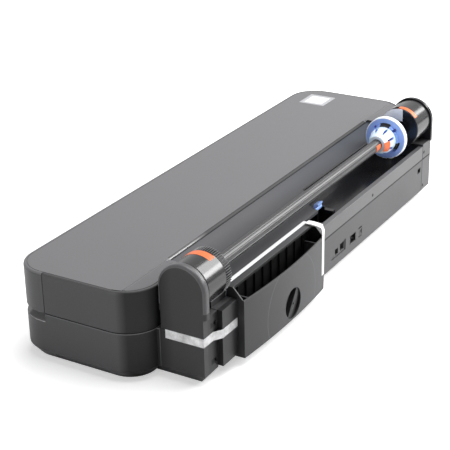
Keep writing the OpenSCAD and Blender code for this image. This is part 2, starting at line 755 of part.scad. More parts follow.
module sheet_bin() {
    inner = bin_front_y + bin_wall;
    color([0.2, 0.2, 0.21]) in_place() difference() {
        union() {
            difference() {
                intersection() {
                    along_x(bin_x0, bin_x1)
                        polygon([[bin_front_y, bin_z + wall], [bin_front_y + wall, bin_z],
                                 [overall_d + over, bin_z], [overall_d + over, bin_rim_z],
                                 [bin_rear_y - wall, bin_rim_z + wall],
                                 [bin_front_y + bin_flange, bin_back_z], [bin_front_y, bin_back_z]]);
                    bin_bow_body(0);
                }
                intersection() {
                    along_x(bin_x0 + bin_wall, bin_x1 - bin_wall)
                        polygon([[inner, bin_z + bin_wall], [overall_d, bin_z + bin_wall],
                                 [overall_d, bin_back_z + over],
                                 [bin_front_y + bin_flange, bin_back_z + over],
                                 [bin_front_y + bin_flange, bin_back_z - 2 * bin_wall],
                                 [inner, bin_back_z - 2 * bin_wall]]);
                    bin_bow_body(bin_wall);
                }
            }
            // Ribs on the front wall inside the bin
            for (i = [1:bin_ribs]) {
                x = bin_x0 + i * bin_pitch;
                span([x, inner - over / 2, bin_z + bin_wall / 2],
                     [x + bin_wall / 2, inner + wall, bin_back_z - wall]);
            }
            // Cup that carries the latch knob
            intersection() {
                rod_y(knob_x, overall_d - bin_bow - 3 * knob_t, overall_d + over, knob_z,
                      knob_r + bin_wall);
                bin_bow_body(0);
            }
        }
        rod_y(knob_x, overall_d - bin_bow - 2 * knob_t, overall_d + over, knob_z, knob_r + run_fit);
        rod_y(knob_x, overall_d - bin_bow - 4 * knob_t, overall_d, knob_z, knob_pin_r + run_fit);
        // Sockets of the hinge pins
        rod_x(bin_x1 - 2 * wall, bin_x1 + over, bin_pin_y, bin_pin_z, bin_pin_r + run_fit / 5);
        rod_x(bin_x0 - over, bin_x0 + 2 * wall, bin_pin_y, bin_pin_z, bin_pin_r + run_fit / 5);
    }
}

bin_ribs = 9;
bin_pitch = (bin_x1 - bin_x0) / (bin_ribs + 1);
guide_h = 34;
knob_t = 4;
knob_pin_r = 4;

// Quarter-turn latch knob, half pocket and half ramp, with a slanted grip edge across the middle
module bin_knob() {
    back = overall_d - bin_bow - 2 * knob_t + seat;
    front = overall_d - bin_bow + knob_t;
    color([0.12, 0.12, 0.13]) in_place() {
        difference() {
            rod_y(knob_x, back, front, knob_z, knob_r);
            translate([knob_x, front, knob_z]) rotate([0, -knob_tilt, 0]) difference() {
                span([wall / 4, -2 * knob_t, -knob_r], [knob_r, over, knob_r]);
                rotate([-90, 0, 0]) translate([0, 0, -3 * knob_t]) difference() {
                    cylinder(r = 2 * knob_r, h = 4 * knob_t);
                    translate([0, 0, -over]) cylinder(r = knob_r - wall / 2, h = 6 * knob_t);
                }
            }
            translate([knob_x, front, knob_z]) rotate([0, -knob_tilt, 0])
                linear_extrude(2 * knob_r, center = true)
                    polygon([[-knob_r - over, over], [-knob_r - over, -knob_t],
                             [-2 * wall, 0], [-2 * wall, over]]);
            rod_y(knob_x - wall, front - knob_t / 2, front + over, knob_z - wall, knob_screw_r);
        }
        rod_y(knob_x, back - 2 * knob_t, back, knob_z, knob_pin_r);
    }
}

knob_tilt = 36;
knob_screw_r = 2;

module bin_guide(x) {
    guide_y = bin_front_y + bin_wall + wall + gap;
    low = bin_rim_z - wall - guide_h;
    span([x, guide_y, low], [x + wall, bin_rear_y - 2 * bin_wall, low + guide_h]);
    span([x - 2 * wall, guide_y, low], [x + 3 * wall, guide_y + wall, low + 3 * bin_wall]);
}

module bin_guide_near() {
    color([0.15, 0.15, 0.16]) in_place() bin_guide(bin_x1 - bin_pitch + wall);
}

module bin_guide_far() {
    color([0.15, 0.15, 0.16]) in_place() bin_guide(bin_x0 + bin_pitch - 2 * wall);
}

foot_sink = 1.2;
foot_in = 50;
foot_front = front_slope_d + 2.2 * foot_r;
foot_rear = body_d - 4 * foot_r;
foot_places = [for (x = [-half_w + foot_in, 0, half_w - foot_in], y = [foot_front, foot_rear]) [x, y]];

module rubber_feet() {
    color([0.08, 0.08, 0.08]) in_place() for (p = foot_places)
        translate([p[0], p[1], 0]) cylinder(r = foot_r, h = base_z + foot_sink - run_fit);
}

// Involute-like gear outline: straight flanks between root and tip circles
function gear_points(teeth, pitch_r, m) = [for (i = [0:teeth - 1], p = gear_tooth(pitch_r, m))
    let (a = (i + p[1]) * 360 / teeth) [p[0] * cos(a), p[0] * sin(a)]];
function gear_tooth(pitch_r, m) = [
    [pitch_r - m * 1.2, -gear_share * 0.62], [pitch_r + m, -gear_share * 0.22],
    [pitch_r + m, gear_share * 0.22], [pitch_r - m * 1.2, gear_share * 0.62]];

// Gear along +X from x0; phase turns the first tooth, in degrees from +Y towards +Z
module gear_x(x0, width, y, z, teeth, m, phase) {
    translate([x0, y, z]) rotate([90, 0, 90]) rotate(phase)
        linear_extrude(width) polygon(gear_points(teeth, teeth * m / 2, m));
}

module spindle_shaft() {
    x0 = far_drum_x - journal_l;
    x1 = gear_x1 + journal_l;
    color([0.05, 0.05, 0.055]) in_place() {
        difference() {
            rod_x(far_drum_x + 3 * wall, gear_x0 - seat, axis_y, axis_z, shaft_r);
            for (i = [0:flutes - 1]) {
                a = i * 360 / flutes;
                rod_x(far_drum_x + 3 * wall - over, gear_x0 + over,
                      axis_y + (shaft_r + flute_r / 2) * cos(a),
                      axis_z + (shaft_r + flute_r / 2) * sin(a), flute_r);
            }
        }
        rod_x(x0, far_drum_x + 3 * wall + over, axis_y, axis_z, journal_r);
        rod_x(gear_x0 - over, x1, axis_y, axis_z, journal_r);
    }
}

flute_r = 1.6;

module spindle_gear() {
    color([0.16, 0.16, 0.17]) in_place() difference() {
        union() {
            gear_x(gear_x0, gear_w - seat, axis_y, axis_z, gear_teeth, roll_module, 0);
            rod_x(gear_x0 - 6 * wall, gear_x0 + over, axis_y, axis_z, shaft_r + 1.5 * wall);
        }
        rod_x(gear_x0 - seat, gear_x1 + over, axis_y, axis_z, journal_r + run_fit);
        rod_x(gear_x0 - 6 * wall - over, gear_x0 - seat + run_fit, axis_y, axis_z, shaft_r + run_fit);
    }
}

// Collar that stops the hub at the far end of the spindle
module spindle_collar() {
    color([0.05, 0.05, 0.05]) in_place() difference() {
        rod_x(far_drum_x + 4 * wall, -hub_x - flange_t - 2 * wall, axis_y, axis_z, shaft_r + 2 * wall);
        rod_x(-half_w, 0, axis_y, axis_z, shaft_r + run_fit);
    }
}

// Flanged hub that slides along the spindle to the paper width
module sliding_hub() {
    color([0.36, 0.55, 0.86]) in_place() difference() {
        union() {
            turn_x(-hub_x - flange_t, axis_y, axis_z)
                polygon([[0, 0], [flange_r - wall, 0], [flange_r, wall], [flange_r, flange_t - wall / 2],
                         [flange_r - wall / 2, flange_t], [0, flange_t]]);
            rod_x(-hub_x - over, -hub_x + 2 * wall, axis_y, axis_z, collet_r + wall);
        }
        rod_x(-half_w, 0, axis_y, axis_z, shaft_r + run_fit);
        // Windows round the collet
        for (i = [0:3]) translate([0, axis_y, axis_z]) rotate([45 + 90 * i, 0, 0])
            span([-hub_x - flange_t / 2, collet_r - wall, -wall],
                 [-hub_x + 3 * wall, collet_r + 2 * wall, wall]);
        // Scalloped lower edge
        for (a = [-120:20:-60])
            rod_x(-hub_x - 2 * flange_t, -hub_x + 3 * wall, axis_y + (flange_r + wall) * cos(a),
                  axis_z + (flange_r + wall) * sin(a), 1.5 * wall);
    }
}

// Slotted conical collet that grips the paper core
module hub_collet() {
    color([0.72, 0.83, 0.97]) in_place() difference() {
        turn_x(-hub_x + 2 * wall + seat, axis_y, axis_z)
            polygon([[shaft_r + run_fit, 0], [collet_r, 0], [collet_r, collet_l * 0.35],
                     [nose_r, collet_l], [shaft_r + run_fit, collet_l]]);
        for (i = [0:collet_slots - 1])
            translate([0, axis_y, axis_z]) rotate([(i + 0.5) * 360 / collet_slots, 0, 0])
                span([-hub_x + 4 * wall, shaft_r + wall, -wall / 2],
                     [-hub_x + collet_l - wall, collet_r + over, wall / 2]);
    }
}

pinion_phase = 180 + pinion_angle + 180 / pinion_teeth
               - (pinion_angle - 360 / gear_teeth * round(pinion_angle * gear_teeth / 360))
                 * -gear_teeth / pinion_teeth;

module roll_pinion() {
    color([0.85, 0.85, 0.82]) in_place() {
        gear_x(gear_x0, gear_w - wall, pinion_y, pinion_z, pinion_teeth, roll_module, pinion_phase);
        rod_x(gear_x0 - 6 * wall, gear_x0 + over, pinion_y, pinion_z, motor_pin_r);
    }
}

motor_pin_r = 2;
roll_motor_r = 12;

module roll_motor() {
    color([0.6, 0.6, 0.62]) in_place() difference() {
        union() {
            rod_x(gear_x0 - 16 * wall, gear_x0 - 3 * wall, pinion_y, pinion_z, roll_motor_r);
            span([gear_x0 - 12 * wall, pinion_y - roll_motor_r, seam_z / 2],
                 [gear_x0 - 6 * wall, pinion_y + roll_motor_r, pinion_z]);
            span([gear_x0 - 14 * wall, pinion_y - roll_motor_r, floor_z + seat],
                 [gear_x0 - 3 * wall, pinion_y + roll_motor_r, seam_z / 2]);
        }
        rod_x(gear_x0 - 7 * wall, gear_x0, pinion_y, pinion_z, motor_pin_r + run_fit);
    }
}

// Sheet-metal pan under the print engine
module chassis_pan() {
    pan_y0 = front_slope_d + 6 * wall;
    color([0.62, 0.63, 0.65]) in_place() {
        span([-frame_x + frame_t + gap, pan_y0, pan_z],
             [frame_x - frame_t - gap, beam_y + 4 * wall, pan_top]);
        span([-frame_x + frame_t + gap, pan_y0, pan_z],
             [frame_x - frame_t - gap, pan_y0 + pan_t, pan_top + 6 * wall]);
    }
}

// Beam that carries the carriage drive, folded from sheet
module chassis_beam() {
    color([0.62, 0.63, 0.65]) in_place() difference() {
        union() {
            span([-frame_x + frame_t + gap, beam_y, pan_top + seat],
                 [frame_x - frame_t - gap, beam_y + pan_t, rail_z + 6 * wall]);
            span([-frame_x + frame_t + gap, beam_y, rail_z + 6 * wall - pan_t],
                 [frame_x - frame_t - gap, beam_y + 4 * wall, rail_z + 6 * wall]);
        }
        for (x = [-pulley_x, pulley_x])
            rod_y(x, beam_y - over, beam_y + 2 * pan_t, belt_z, motor_pin_r + run_fit);
        for (i = [-3:3]) rod_y(i * frame_x / 4, beam_y - over, beam_y + 2 * pan_t, seam_z / 2, 5 * wall);
    }
}

module side_frames() {
    color([0.58, 0.59, 0.61]) in_place() difference() {
        for (side = [-1, 1]) {
            x = side > 0 ? frame_x : -frame_x;
            span([x - frame_t, exit_y - 4 * wall, pan_z],
                 [x + frame_t, beam_y + 4 * wall, rail_z + 6 * wall]);
        }
        rod_x(-frame_x - over, -frame_x + over + frame_t, rail_y, rail_z, rail_r + run_fit);
        rod_x(frame_x - frame_t - over, frame_x + frame_t + over, rail_y, rail_z, rail_r + run_fit);
        rod_x(-frame_x - wall, -frame_x + wall, rail_y, rail_z, rail_r + run_fit);
    }
}

module roller_brackets() {
    color([0.58, 0.59, 0.61]) in_place() difference() {
        for (side = [-1, 1]) {
            x = side * bracket_x;
            span([x - frame_t / 2, exit_y - 3 * wall, pan_top + seat],
                 [x + frame_t / 2, feed_y + 7 * wall, pinch_z + 1.5 * wall]);
        }
        rod_x(-half_w, half_w, feed_y, feed_z, feed_r / 2 + run_fit);
        rod_x(-half_w, half_w, exit_y, exit_z, exit_r / 2 + run_fit);
        rod_x(-half_w, half_w, feed_y, pinch_z, motor_pin_r + run_fit);
    }
}

module carriage_rail() {
    color([0.8, 0.8, 0.82]) in_place() rod_x(-frame_x - frame_t, frame_x + frame_t, rail_y, rail_z, rail_r);
}

module encoder_strip() {
    color([0.7, 0.7, 0.66]) in_place()
        span([-frame_x + frame_t + gap, carriage_y1 + gap, rail_z + 2 * wall],
             [frame_x - frame_t - gap, carriage_y1 + gap + wall / 5, rail_z + 5 * wall]);
}

// Closed belt round both pulleys
module drive_belt() {
    outer = pulley_r + belt_t;
    color([0.06, 0.06, 0.06]) in_place() along_y(belt_y, belt_y + belt_w) difference() {
        hull_run(outer);
        hull_run(pulley_r);
    }
}

// Stadium outline round both pulley centres
module hull_run(r) {
    for (x = [-pulley_x, pulley_x]) translate([x, belt_z]) circle(r = r);
    translate([-pulley_x, belt_z - r]) square([2 * pulley_x, 2 * r]);
}

module pulley(x) {
    rod_y(x, belt_y, belt_y + belt_w, belt_z, pulley_r - run_fit);
    rod_y(x, belt_y - wall / 3 - gap, belt_y - gap, belt_z, pulley_r + belt_t);
    rod_y(x, belt_y - gap - over / 5, belt_y + over, belt_z, pulley_r / 2);
    rod_y(x, belt_y + belt_w - over, beam_y + 2 * pan_t, belt_z, motor_pin_r);
}

module drive_pulley() {
    color([0.75, 0.75, 0.72]) in_place() pulley(pulley_x);
}

module idler_pulley() {
    color([0.75, 0.75, 0.72]) in_place() pulley(-pulley_x);
}

module carriage_motor() {
    motor_r = 4 * wall;
    color([0.55, 0.56, 0.58]) in_place() difference() {
        rod_y(pulley_x, beam_y + pan_t + seat, beam_y + 12 * wall, belt_z, motor_r);
        rod_y(pulley_x, beam_y, beam_y + 3 * pan_t, belt_z, motor_pin_r + run_fit);
    }
}

clamp_w = 20;

module carriage() {
    x0 = park_x - carriage_w / 2;
    x1 = park_x + carriage_w / 2;
    color([0.13, 0.13, 0.14]) in_place() difference() {
        union() {
            // Body, open at the top for the cartridges
            difference() {
                span([x0, carriage_y0, carriage_z], [x1, carriage_y1, carriage_z + carriage_h * 0.55]);
                span([x0 + wall, carriage_y0 + wall, carriage_z + wall],
                     [x1 - wall, rail_y - rail_r - 2 * wall, carriage_z + carriage_h]);
            }
            span([x0, rail_y - rail_r - 1.5 * wall, carriage_z + carriage_h * 0.3],
                 [x1, rail_y + rail_r + 1.5 * wall, rail_z + rail_r + 1.5 * wall]);
            for (i = [1:3])
                span([x0 + i * carriage_w / 4 - wall / 4, carriage_y0 + wall / 2, carriage_z + wall / 2],
                     [x0 + i * carriage_w / 4 + wall / 4, rail_y - rail_r - wall,
                      carriage_z + carriage_h * 0.4]);
            // Fork that grips the lower run of the belt
            span([park_x - clamp_w / 2, carriage_y1 - over, belt_z - pulley_r - belt_t - gap - wall],
                 [park_x + clamp_w / 2, belt_y + belt_w, belt_z - pulley_r - belt_t - gap]);
        }
        rod_x(-half_w, half_w, rail_y, rail_z, rail_r + run_fit);
        rod_y(park_x, carriage_y1 - 3 * wall, carriage_y1 + wall, rail_z + 3.5 * wall, wall);
    }
}

module ink_cartridges() {
    pitch = carriage_w / 4;
    x0 = park_x - carriage_w / 2;
    for (i = [0:3]) color(ink_colours[i]) in_place() {
        a = x0 + i * pitch + (i == 0 ? wall : wall / 4) + gap;
        b = x0 + (i + 1) * pitch - (i == 3 ? wall : wall / 4) - gap;
        span([a, carriage_y0 + wall + gap, carriage_z + wall + seat],
             [b, rail_y - rail_r - 2 * wall - gap, carriage_z + carriage_h * 0.9]);
    }
}

ink_colours = [[0.1, 0.1, 0.1], [0.1, 0.5, 0.75], [0.75, 0.15, 0.45], [0.9, 0.8, 0.15]];

module print_head() {
    color([0.5, 0.5, 0.52]) in_place()
        span([park_x - carriage_w / 3, carriage_y0 + 4 * wall, carriage_z - wall],
             [park_x + carriage_w / 3, carriage_y0 + 12 * wall, carriage_z - seat / 5]);
}

// Ribbed platen under the print head
module platen() {
    y0 = exit_y + exit_r + wall;
    y1 = feed_y - feed_r - wall / 2;
    top = feed_z + feed_r - wall / 2;
    color([0.16, 0.16, 0.17]) in_place() {
        span([-platen_half, y0, top - 3 * wall], [platen_half, y1, top - 1.5 * wall]);
        for (i = [0:24]) {
            x = -platen_half + i * (2 * platen_half - wall) / 24;
            span([x, y0, top - 1.6 * wall], [x + wall / 2, y1, top]);
        }
        for (i = [-2:2]) span([i * platen_half / 2.2, y0 + wall, pan_top + seat],
                              [i * platen_half / 2.2 + wall, y1 - wall, top - 2.9 * wall]);
    }
}

module exit_guide() {
    top = slot_z - gap;
    color([0.17, 0.17, 0.18]) in_place() {
        span([-platen_half - wall, wall + gap, top - wall],
             [platen_half + wall, exit_y - exit_r - wall, top]);
        for (i = [-12:12]) span([i * platen_half / 12, 3 * wall, top - wall / 2],
                                [i * platen_half / 12 + wall / 2, exit_y - exit_r - wall, top + wall / 2]);
        for (i = [-2:2]) span([i * platen_half / 2.2, front_slope_d + 8 * wall, pan_top + seat],
                              [i * platen_half / 2.2 + wall, exit_y - exit_r - wall, top - wall / 2]);
    }
}

module service_station() {
    x0 = -frame_x + frame_t + 2 * wall;
    x1 = -bracket_x - 3 * wall;
    top = carriage_z - 3 * wall;
    color([0.22, 0.22, 0.23]) in_place() difference() {
        span([x0, carriage_y0 + wall, pan_top + seat], [x1, carriage_y1 - 4 * wall, top]);
        for (i = [0:1]) span([x0 + 2 * wall + i * 11 * wall, carriage_y0 + 4 * wall, top - 2 * wall],
                             [x0 + 10 * wall + i * 11 * wall, carriage_y0 + 14 * wall, top + over]);
        span([x0 + 4 * wall, wiper_y0, top - 2 * wall],
             [x0 + 4 * wall + wiper_t + 2 * run_fit, wiper_y1, top + over]);
    }
}

wiper_t = 1.6;
wiper_y1 = carriage_y1 - 6 * wall;
wiper_y0 = wiper_y1 - 6 * wall;

module wiper_blade() {
    x0 = -frame_x + frame_t + 6 * wall + run_fit;
    top = carriage_z - 3 * wall;
    color([0.05, 0.05, 0.05]) in_place()
        span([x0, wiper_y0 + gap, top - 2 * wall + seat], [x0 + wiper_t, wiper_y1 - gap, top + wall]);
}

module power_supply() {
    x0 = -far_face + 12 * wall;
    x1 = x0 + supply_w;
    color([0.66, 0.67, 0.69]) in_place() difference() {
        span([x0, tower_y - 6 * wall, floor_z + seat],
             [x1, rear_y - 3 * wall - bevel_in, seam_z - 10 * wall]);
        for (i = [1:9]) span([x0 + i * supply_w / 11, tower_y, seam_z - 11 * wall],
                             [x0 + i * supply_w / 11 + 2 * wall, tower_y + 12 * wall, seam_z - 9 * wall]);
    }
}

supply_w = 130;
board_x0 = -175;
board_x1 = 60;
chip_w = 20;
chip_pitch = (board_x1 - board_x0 - chip_w) / 5;

module main_board() {
    board_z = floor_z + 4 * wall;
    y0 = body_d;
    y1 = rear_y - 2 * wall - 2 * over;
    chip_z = board_z + wall / 4;
    color([0.1, 0.35, 0.18]) in_place() {
        span([board_x0, y0, board_z], [board_x1, y1 - 6 * wall, board_z + wall / 2]);
        for (x = [board_x0 + 2 * wall, board_x1 - 4 * wall], y = [y0 + 2 * wall, y1 - 10 * wall])
            translate([x, y, floor_z + seat]) cylinder(r = wall, h = board_z - floor_z - seat / 2);
        for (i = [0:4]) span([board_x0 + chip_w + i * chip_pitch, y0 + 4 * wall, chip_z],
                             [board_x0 + 2 * chip_w + i * chip_pitch, y0 + 4 * wall + chip_w,
                              chip_z + wall + i % 2 * wall]);
    }
}

// Mains inlet with its three blades in a recessed socket
module power_inlet() {
    x0 = inlet_x - inlet_w / 2 + gap;
    x1 = inlet_x + inlet_w / 2 - gap;
    z0 = inlet_z + gap;
    z1 = inlet_z + inlet_h - gap;
    color([0.06, 0.06, 0.06]) in_place() {
        difference() {
            span([x0, rear_y - 7 * wall, z0], [x1, rear_y, z1]);
            span([x0 + inlet_t, rear_y - 6 * wall, z0 + inlet_t],
                 [x1 - inlet_t, rear_y + over, z1 - inlet_t]);
        }
        for (i = [-1:1]) {
            z = inlet_z + inlet_h / 2 - (i == 0 ? 0 : wall);
            span([inlet_x + i * blade_pitch - inlet_t / 2, rear_y - 6.2 * wall, z - inlet_t],
                 [inlet_x + i * blade_pitch + inlet_t / 2, rear_y - wall, z + inlet_t]);
        }
    }
}

inlet_t = 2;
blade_pitch = 7;
port_edge = 4;
network_w = 16;
network_h = 14;
data_w = 12;
data_h = 11;

module port_plate() {
    x0 = port_x - port_w / 2 + gap;
    x1 = port_x + port_w / 2 - gap;
    color([0.5, 0.51, 0.53]) in_place() difference() {
        span([x0, rear_y - 6 * wall, inlet_z + gap], [x1, rear_y - wall / 2, inlet_z + port_h - gap]);
        span([x0 + port_edge, rear_y - 5 * wall, inlet_z + port_edge],
             [x0 + port_edge + network_w, rear_y + over, inlet_z + port_edge + network_h]);
        span([x0 + 3 * port_edge + network_w, rear_y - 5 * wall, inlet_z + port_edge],
             [x0 + 3 * port_edge + network_w + data_w, rear_y + over, inlet_z + port_edge + data_h]);
    }
}

module power_rocker() {
    color([0.05, 0.05, 0.05]) in_place() {
        along_x(rocker_x - rocker_w / 2 + gap, rocker_x + rocker_w / 2 - gap)
            polygon([[rear_y - 4 * wall, rocker_z - 1.5 * wall],
                     [rear_y - wall, inlet_z + 2 * wall / 3], [rear_y + wall / 6, inlet_z + 2 * wall / 3],
                     [rear_y - wall / 2, rocker_z], [rear_y + wall / 6, inlet_z + inlet_h - 2 * wall / 3],
                     [rear_y - wall, inlet_z + inlet_h - 2 * wall / 3],
                     [rear_y - 4 * wall, rocker_z + 1.5 * wall]]);
        rod_x(rocker_x - rocker_w / 2 - wall / 2, rocker_x + rocker_w / 2 + wall / 2, rocker_y, rocker_z,
              motor_pin_r);
    }
}

gear_gap = 1;
feed_gear_x = bracket_x + frame_t / 2 + gear_gap;

module feed_roller() {
    color([0.25, 0.25, 0.26]) in_place() {
        rod_x(-bracket_x + frame_t, bracket_x - frame_t, feed_y, feed_z, feed_r);
        rod_x(-bracket_x - wall, feed_gear_x + 2.5 * wall, feed_y, feed_z, feed_r / 2);
    }
}

module feed_gear() {
    color([0.9, 0.9, 0.86]) in_place() difference() {
        gear_x(feed_gear_x, 2 * wall, feed_y, feed_z, feed_gear_teeth, feed_module, 0);
        rod_x(feed_gear_x - over, feed_gear_x + 3 * wall, feed_y, feed_z, feed_r / 2 + run_fit / 5);
    }
}

feed_phase = 180 + feed_angle + 180 / feed_pinion_teeth
             - (feed_angle - 360 / feed_gear_teeth * round(feed_angle * feed_gear_teeth / 360))
               * -feed_gear_teeth / feed_pinion_teeth;

module feed_pinion() {
    color([0.8, 0.75, 0.5]) in_place() {
        gear_x(feed_gear_x, 2 * wall, feed_pinion_y, feed_pinion_z, feed_pinion_teeth, feed_module,
              feed_phase);
        rod_x(feed_gear_x + wall, feed_gear_x + 6 * wall, feed_pinion_y, feed_pinion_z, motor_pin_r);
    }
}

module feed_motor() {
    motor_r = 5 * wall;
    color([0.55, 0.56, 0.58]) in_place() difference() {
        union() {
            rod_x(feed_gear_x + 3 * wall, feed_gear_x + 14 * wall, feed_pinion_y, feed_pinion_z, motor_r);
            span([feed_gear_x + 5 * wall, feed_pinion_y - motor_r, pan_top + seat],
                 [feed_gear_x + 12 * wall, feed_pinion_y + motor_r, feed_pinion_z]);
        }
        rod_x(feed_gear_x, feed_gear_x + 6.5 * wall, feed_pinion_y, feed_pinion_z, motor_pin_r + run_fit);
    }
}

module pinch_rollers() {
    color([0.1, 0.1, 0.1]) in_place() {
        rod_x(-bracket_x - wall, bracket_x + wall / 2, feed_y, pinch_z, motor_pin_r);
        for (i = [-3.5:1:3.5])
            rod_x(i * platen_half / 4.2 - 4 * wall, i * platen_half / 4.2 + 4 * wall, feed_y, pinch_z,
                  pinch_r);
    }
}

module exit_roller() {
    color([0.2, 0.2, 0.2]) in_place() {
        rod_x(-bracket_x - wall, bracket_x + wall, exit_y, exit_z, exit_r / 2);
        for (i = [-5:5])
            rod_x(i * platen_half / 5.6 - 5 * wall, i * platen_half / 5.6 + 5 * wall, exit_y, exit_z,
                  exit_r);
    }
}

base_shell();
upper_shell();
near_tower();
far_tower();
near_drum();
far_drum();
chute_panel();
roll_trough();
rear_cover();
latch_block();
rubber_feet();
chassis_pan();
chassis_beam();
side_frames();
roller_brackets();
carriage_rail();
encoder_strip();
drive_belt();
carriage_motor();
platen();
exit_guide();
service_station();
wiper_blade();
power_supply();
main_board();
power_inlet();
port_plate();
roll_motor();
feed_motor();
hinge_pins();
case_screws();
lid();
display_bezel();
display_glass();
carriage();
ink_cartridges();
print_head();
drive_pulley();
idler_pulley();
feed_roller();
feed_gear();
feed_pinion();
pinch_rollers();
exit_roller();
spindle_shaft();
spindle_gear();
spindle_collar();
sliding_hub();
hub_collet();
roll_pinion();
sheet_bin();
bin_pins();
bin_knob();
bin_guide_near();
bin_guide_far();
power_rocker();
sheet_lever();
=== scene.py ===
"""Looks, light and camera of a wide format roll printer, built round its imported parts."""

import json
import math

import bmesh
import bpy
from mathutils import Matrix, Vector


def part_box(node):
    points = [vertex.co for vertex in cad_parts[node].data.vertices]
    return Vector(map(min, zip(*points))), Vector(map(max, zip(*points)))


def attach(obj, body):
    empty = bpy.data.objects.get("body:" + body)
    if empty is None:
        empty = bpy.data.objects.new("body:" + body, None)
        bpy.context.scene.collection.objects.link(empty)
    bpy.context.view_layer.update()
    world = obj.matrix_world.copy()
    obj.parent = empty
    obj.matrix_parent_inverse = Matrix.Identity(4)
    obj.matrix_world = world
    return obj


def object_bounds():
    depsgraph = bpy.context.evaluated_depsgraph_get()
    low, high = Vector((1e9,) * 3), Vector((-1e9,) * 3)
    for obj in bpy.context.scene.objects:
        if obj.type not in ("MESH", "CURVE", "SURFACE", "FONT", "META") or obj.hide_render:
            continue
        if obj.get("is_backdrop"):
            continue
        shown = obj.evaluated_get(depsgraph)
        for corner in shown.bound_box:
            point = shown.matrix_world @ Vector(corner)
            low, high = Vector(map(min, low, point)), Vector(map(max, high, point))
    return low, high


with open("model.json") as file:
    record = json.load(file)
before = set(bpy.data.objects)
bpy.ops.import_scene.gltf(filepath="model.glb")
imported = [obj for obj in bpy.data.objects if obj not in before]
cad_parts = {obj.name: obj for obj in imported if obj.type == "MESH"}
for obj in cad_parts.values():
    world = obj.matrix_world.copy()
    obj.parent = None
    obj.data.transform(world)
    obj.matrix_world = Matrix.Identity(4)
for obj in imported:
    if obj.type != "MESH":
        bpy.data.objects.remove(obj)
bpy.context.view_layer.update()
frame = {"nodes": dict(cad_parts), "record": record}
parts = frame["nodes"]

# Distance from the front face to the middle of the footprint, in millimetres
FRONT = 179.0
MM = 0.001

# Places in millimetres, depths counted from the front face: the body in plan, its top, the joint of its
# shells and the height of a painted highlight just under it, the axis of the roll as (depth, height), the
# rear wall, and the walls of the towers beside the bay
BODY_HALF, BODY_DEPTH, BODY_CORNER = 506.5, 247.0, 57.0
BODY_TOP = 158.0
SHELL_JOINT, EDGE_HIGHLIGHT_HEIGHT = 87.6, 85.7
AXIS = (292.5, 160.0)
REAR_WALL = 330.5
NEAR_WALL, FAR_WALL = 371.8, -390.4

# Centre (width, depth) and radius of the bowed rear face of the bin
BOW_CENTRE, BOW_RADIUS = (233.5, -1232.0), 1589.0

# Tones that more than one finish uses
black = (0.0085, 0.0085, 0.0095)
joint_black = (0.006, 0.006, 0.006)
# Dark tone of the lid's apron joints, and of painted shade in the body's corner beside the near tower
joint_and_painted_shade_black = (0.008, 0.008, 0.008)
lid_tone = (0.11, 0.108, 0.113)


def back(y):
    """Depth in metres of a place that lies y millimetres behind the front face."""
    return (y - FRONT) * MM


def at(x, y, z):
    """Point in metres from millimetres along the width, back from the front face and up from the floor."""
    return Vector((x * MM, back(y), z * MM))


# Camera, as it stood for the photograph: its place in metres, and the directions of its picture
camera = bpy.data.objects.new("camera", bpy.data.cameras.new("camera"))
bpy.context.collection.objects.link(camera)
camera.data.sensor_width = 36.0
camera.data.lens = 102.92
camera.data.clip_end = 50.0
right = Vector((-0.509, 0.861, -0.020))
down = Vector((0.361, 0.192, -0.912))
ahead = Vector((-0.781, -0.472, -0.409))
turn = Matrix((right, -down, -ahead)).transposed()
camera.matrix_world = Matrix.Translation((1.899, 1.064, 1.040)) @ turn.to_quaternion().to_matrix().to_4x4()
bpy.context.scene.camera = camera
bpy.context.scene.view_settings.view_transform = "Standard"


class Value:
    """A number or colour between two nodes; a sum on it adds Math nodes."""

    def __init__(self, finish, socket):
        self.finish, self.socket = finish, socket

    def sum_of(self, operation, first, second):
        return self.finish.node("ShaderNodeMath", {"operation": operation}, {0: first, 1: second})

    def __add__(self, other):
        return self.sum_of("ADD", self, other)

    def __radd__(self, other):
        return self.sum_of("ADD", other, self)

    def __sub__(self, other):
        return self.sum_of("SUBTRACT", self, other)

    def __rsub__(self, other):
        return self.sum_of("SUBTRACT", other, self)

    def __mul__(self, other):
        return self.sum_of("MULTIPLY", self, other)

    def __rmul__(self, other):
        return self.sum_of("MULTIPLY", other, self)

    def __truediv__(self, other):
        return self.sum_of("DIVIDE", self, other)

    def __lt__(self, other):
        return self.sum_of("LESS_THAN", self, other)

    def __gt__(self, other):
        return self.sum_of("GREATER_THAN", self, other)

    def size(self):
        return self.finish.node("ShaderNodeMath", {"operation": "ABSOLUTE"}, {0: self})

    def root(self):
        return self.finish.node("ShaderNodeMath", {"operation": "SQRT"}, {0: self})

    def larger(self, other):
        return self.sum_of("MAXIMUM", self, other)

    def clipped(self):
        return self.finish.node("ShaderNodeClamp", {}, {"Value": self})

    def near(self, middle, reach):
        """Mask of what lies closer to a middle than a reach, both in millimetres."""
        return (self - middle * MM).size() < reach * MM


